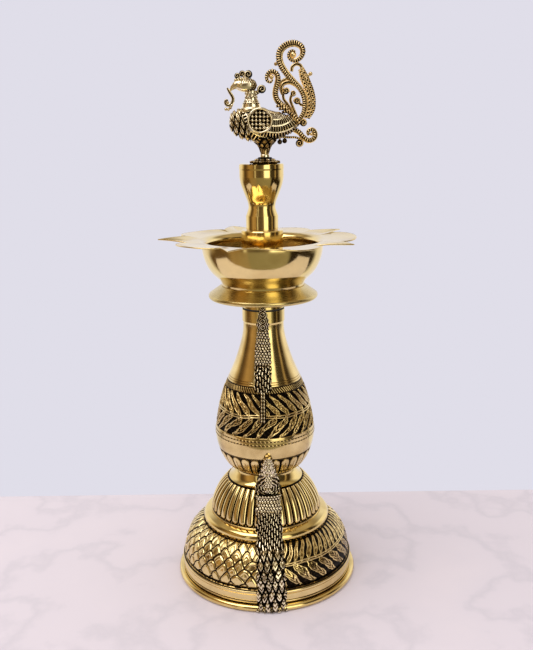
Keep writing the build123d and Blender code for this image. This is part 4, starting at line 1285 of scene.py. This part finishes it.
def world_light():
    """Pale lavender room, with a bright window strip and darker brown walls behind the camera."""
    world = bpy.data.worlds.new("studio")
    bpy.context.scene.world = world
    world.use_nodes = True
    tree = world.node_tree
    place = tree.nodes.new("ShaderNodeTexCoord").outputs["Generated"]
    split = add_node(tree, "SeparateXYZ", {}, {"Vector": place})
    back = maths(tree, "MULTIPLY", split.outputs["Y"], -1.0)
    turn = maths(tree, "ARCTAN2", split.outputs["X"], back)
    share = remap(tree, turn, -pi, pi, 0.0, 1.0)
    lavender = (0.86, 0.85, 0.92)
    stops = [
        (-180, lavender), (-122, (1.05, 1.0, 0.95)), (-108, (0.60, 0.46, 0.28)),
        (-96, (0.10, 0.065, 0.03)), (-84, (0.15, 0.085, 0.035)), (-66, (0.50, 0.32, 0.14)),
        (-46, (0.38, 0.24, 0.10)), (-38, (0.12, 0.08, 0.04)), (-33, (0.95, 0.85, 0.62)),
        (-27, (0.16, 0.11, 0.06)), (-8, (0.10, 0.075, 0.045)), (10, (0.22, 0.16, 0.09)),
        (18, (2.1, 2.0, 1.6)), (40, (2.0, 1.9, 1.45)), (46, (0.07, 0.055, 0.03)),
        (70, (0.05, 0.035, 0.02)), (76, (0.55, 0.40, 0.20)), (82, (0.04, 0.025, 0.015)),
        (94, (0.06, 0.04, 0.02)), (108, (0.7, 0.62, 0.52)), (120, (1.05, 1.0, 0.95)), (180, lavender),
    ]
    walls = ramp(tree, share, [((angle + 180) / 360, colour) for angle, colour in stops])
    below = [
        (-180, lavender), (-130, (0.9, 0.85, 0.8)), (-116, (0.13, 0.075, 0.03)),
        (-72, (0.12, 0.07, 0.03)), (-60, (0.36, 0.25, 0.12)), (-30, (0.34, 0.26, 0.14)),
        (-26, (0.28, 0.24, 0.14)), (50, (0.34, 0.30, 0.19)), (57, (0.02, 0.012, 0.006)),
        (116, (0.03, 0.02, 0.01)), (130, (0.9, 0.85, 0.8)), (180, lavender),
    ]
    under = ramp(tree, share, [((angle + 180) / 360, colour) for angle, colour in below])
    low = mixed(tree, remap(tree, split.outputs["Z"], -0.30, -0.12, 0.0, 1.0), under, walls)
    ceiling = ramp(tree, split.outputs["Z"], (
        (0.60, (0.20, 0.15, 0.09)), (0.74, (0.52, 0.42, 0.28)), (0.90, (0.42, 0.34, 0.23)),
        (1.0, (0.80, 0.74, 0.66))))
    whole = mixed(tree, remap(tree, split.outputs["Z"], 0.48, 0.66, 0.0, 1.0), low, ceiling)
    room = tree.nodes["Background"]
    tree.links.new(whole, room.inputs["Color"])
    fill = add_node(tree, "Background", {"Color": (1.0, 0.985, 1.0, 1)}, {})
    seen = add_node(tree, "Background", {"Color": (0.745, 0.730, 0.815, 1)}, {})
    rays = tree.nodes.new("ShaderNodeLightPath")
    shader = room.outputs["Background"]
    for kind, other in (("Is Diffuse Ray", fill), ("Is Camera Ray", seen)):
        links = {"Fac": rays.outputs[kind], 1: shader, 2: other.outputs["Background"]}
        shader = add_node(tree, "MixShader", {}, links).outputs["Shader"]
    tree.links.new(shader, tree.nodes["World Output"].inputs["Surface"])


def floor_material():
    """Pale pinkish stone with faint grey veins."""
    material, tree, shader = node_tree("pale_floor")
    clouds = noise(tree, 9.0, 6.0)
    stone = ramp(tree, clouds, (
        (0.30, (0.640, 0.572, 0.612)), (0.46, (0.628, 0.563, 0.604)), (0.50, (0.575, 0.520, 0.562)),
        (0.54, (0.630, 0.565, 0.606)), (0.70, (0.652, 0.580, 0.616))))
    tree.links.new(stone, shader.inputs["Base Color"])
    shader.inputs["Roughness"].default_value = 0.5
    shader.inputs["Specular IOR Level"].default_value = 0.25
    return material


def studio_floor():
    """Pale table top with its back edge where the photograph shows the floor's edge."""
    left, right, front, back, top, under = -0.75, 0.75, -0.26, 0.147, -0.0001, -0.03
    corners = [(x, y, z) for z in (under, top) for y in (front, back) for x in (left, right)]
    faces = [(0, 2, 3, 1), (4, 5, 7, 6), (0, 1, 5, 4), (2, 6, 7, 3), (0, 4, 6, 2), (1, 3, 7, 5)]
    mesh = bpy.data.meshes.new("floor")
    mesh.from_pydata(corners, [], faces)
    floor = bpy.data.objects.new("floor", mesh)
    floor.data.materials.append(floor_material())
    bpy.context.scene.collection.objects.link(floor)


def soft_light(name, place, turn, size, watts, colour):
    data = bpy.data.lights.new(name, "AREA")
    data.size = size
    data.energy = watts
    data.color = colour
    light = bpy.data.objects.new(name, data)
    light.location = place
    light.rotation_euler = [radians(a) for a in turn]
    bpy.context.scene.collection.objects.link(light)


def camera():
    data = bpy.data.cameras.new("camera")
    data.lens = 44.3
    data.sensor_width = 36.0
    data.clip_start = 0.01
    view = bpy.data.objects.new("camera", data)
    place = Matrix.Translation((0.0025, -0.666, 0.385))
    tilt = Matrix.Rotation(radians(76.52), 4, "X")
    roll = Matrix.Rotation(radians(-0.75), 4, "Z")
    view.matrix_world = place @ tilt @ roll
    bpy.context.scene.collection.objects.link(view)
    bpy.context.scene.camera = view


def finish_cad_nodes():
    """Materials of the CAD nodes that stay."""
    looks = {
        "polished_brass": POLISHED, "satin_brass": SATIN, "plain_brass": PLAIN,
        "antique_brass": ANTIQUE, "black_rubber": RUBBER,
    }
    for part in frame["record"]["subparts"]:
        mesh = NODES[part["node"]].data
        mesh.materials.clear()
        mesh.materials.append(looks[part["material_slot"]])


base_bell()
fluted_dome()
stem_pear()
base_tail()
base_bird()
stem_tail()
stem_bird()
petal_bowl()
peacock()
finish_cad_nodes()
world_light()
studio_floor()
soft_light("overhead", (-0.5, -0.4, 1.5), (20, -18, 0), 1.2, 12, (1.0, 0.98, 0.95))
camera()
bpy.context.scene.view_settings.view_transform = "Standard"
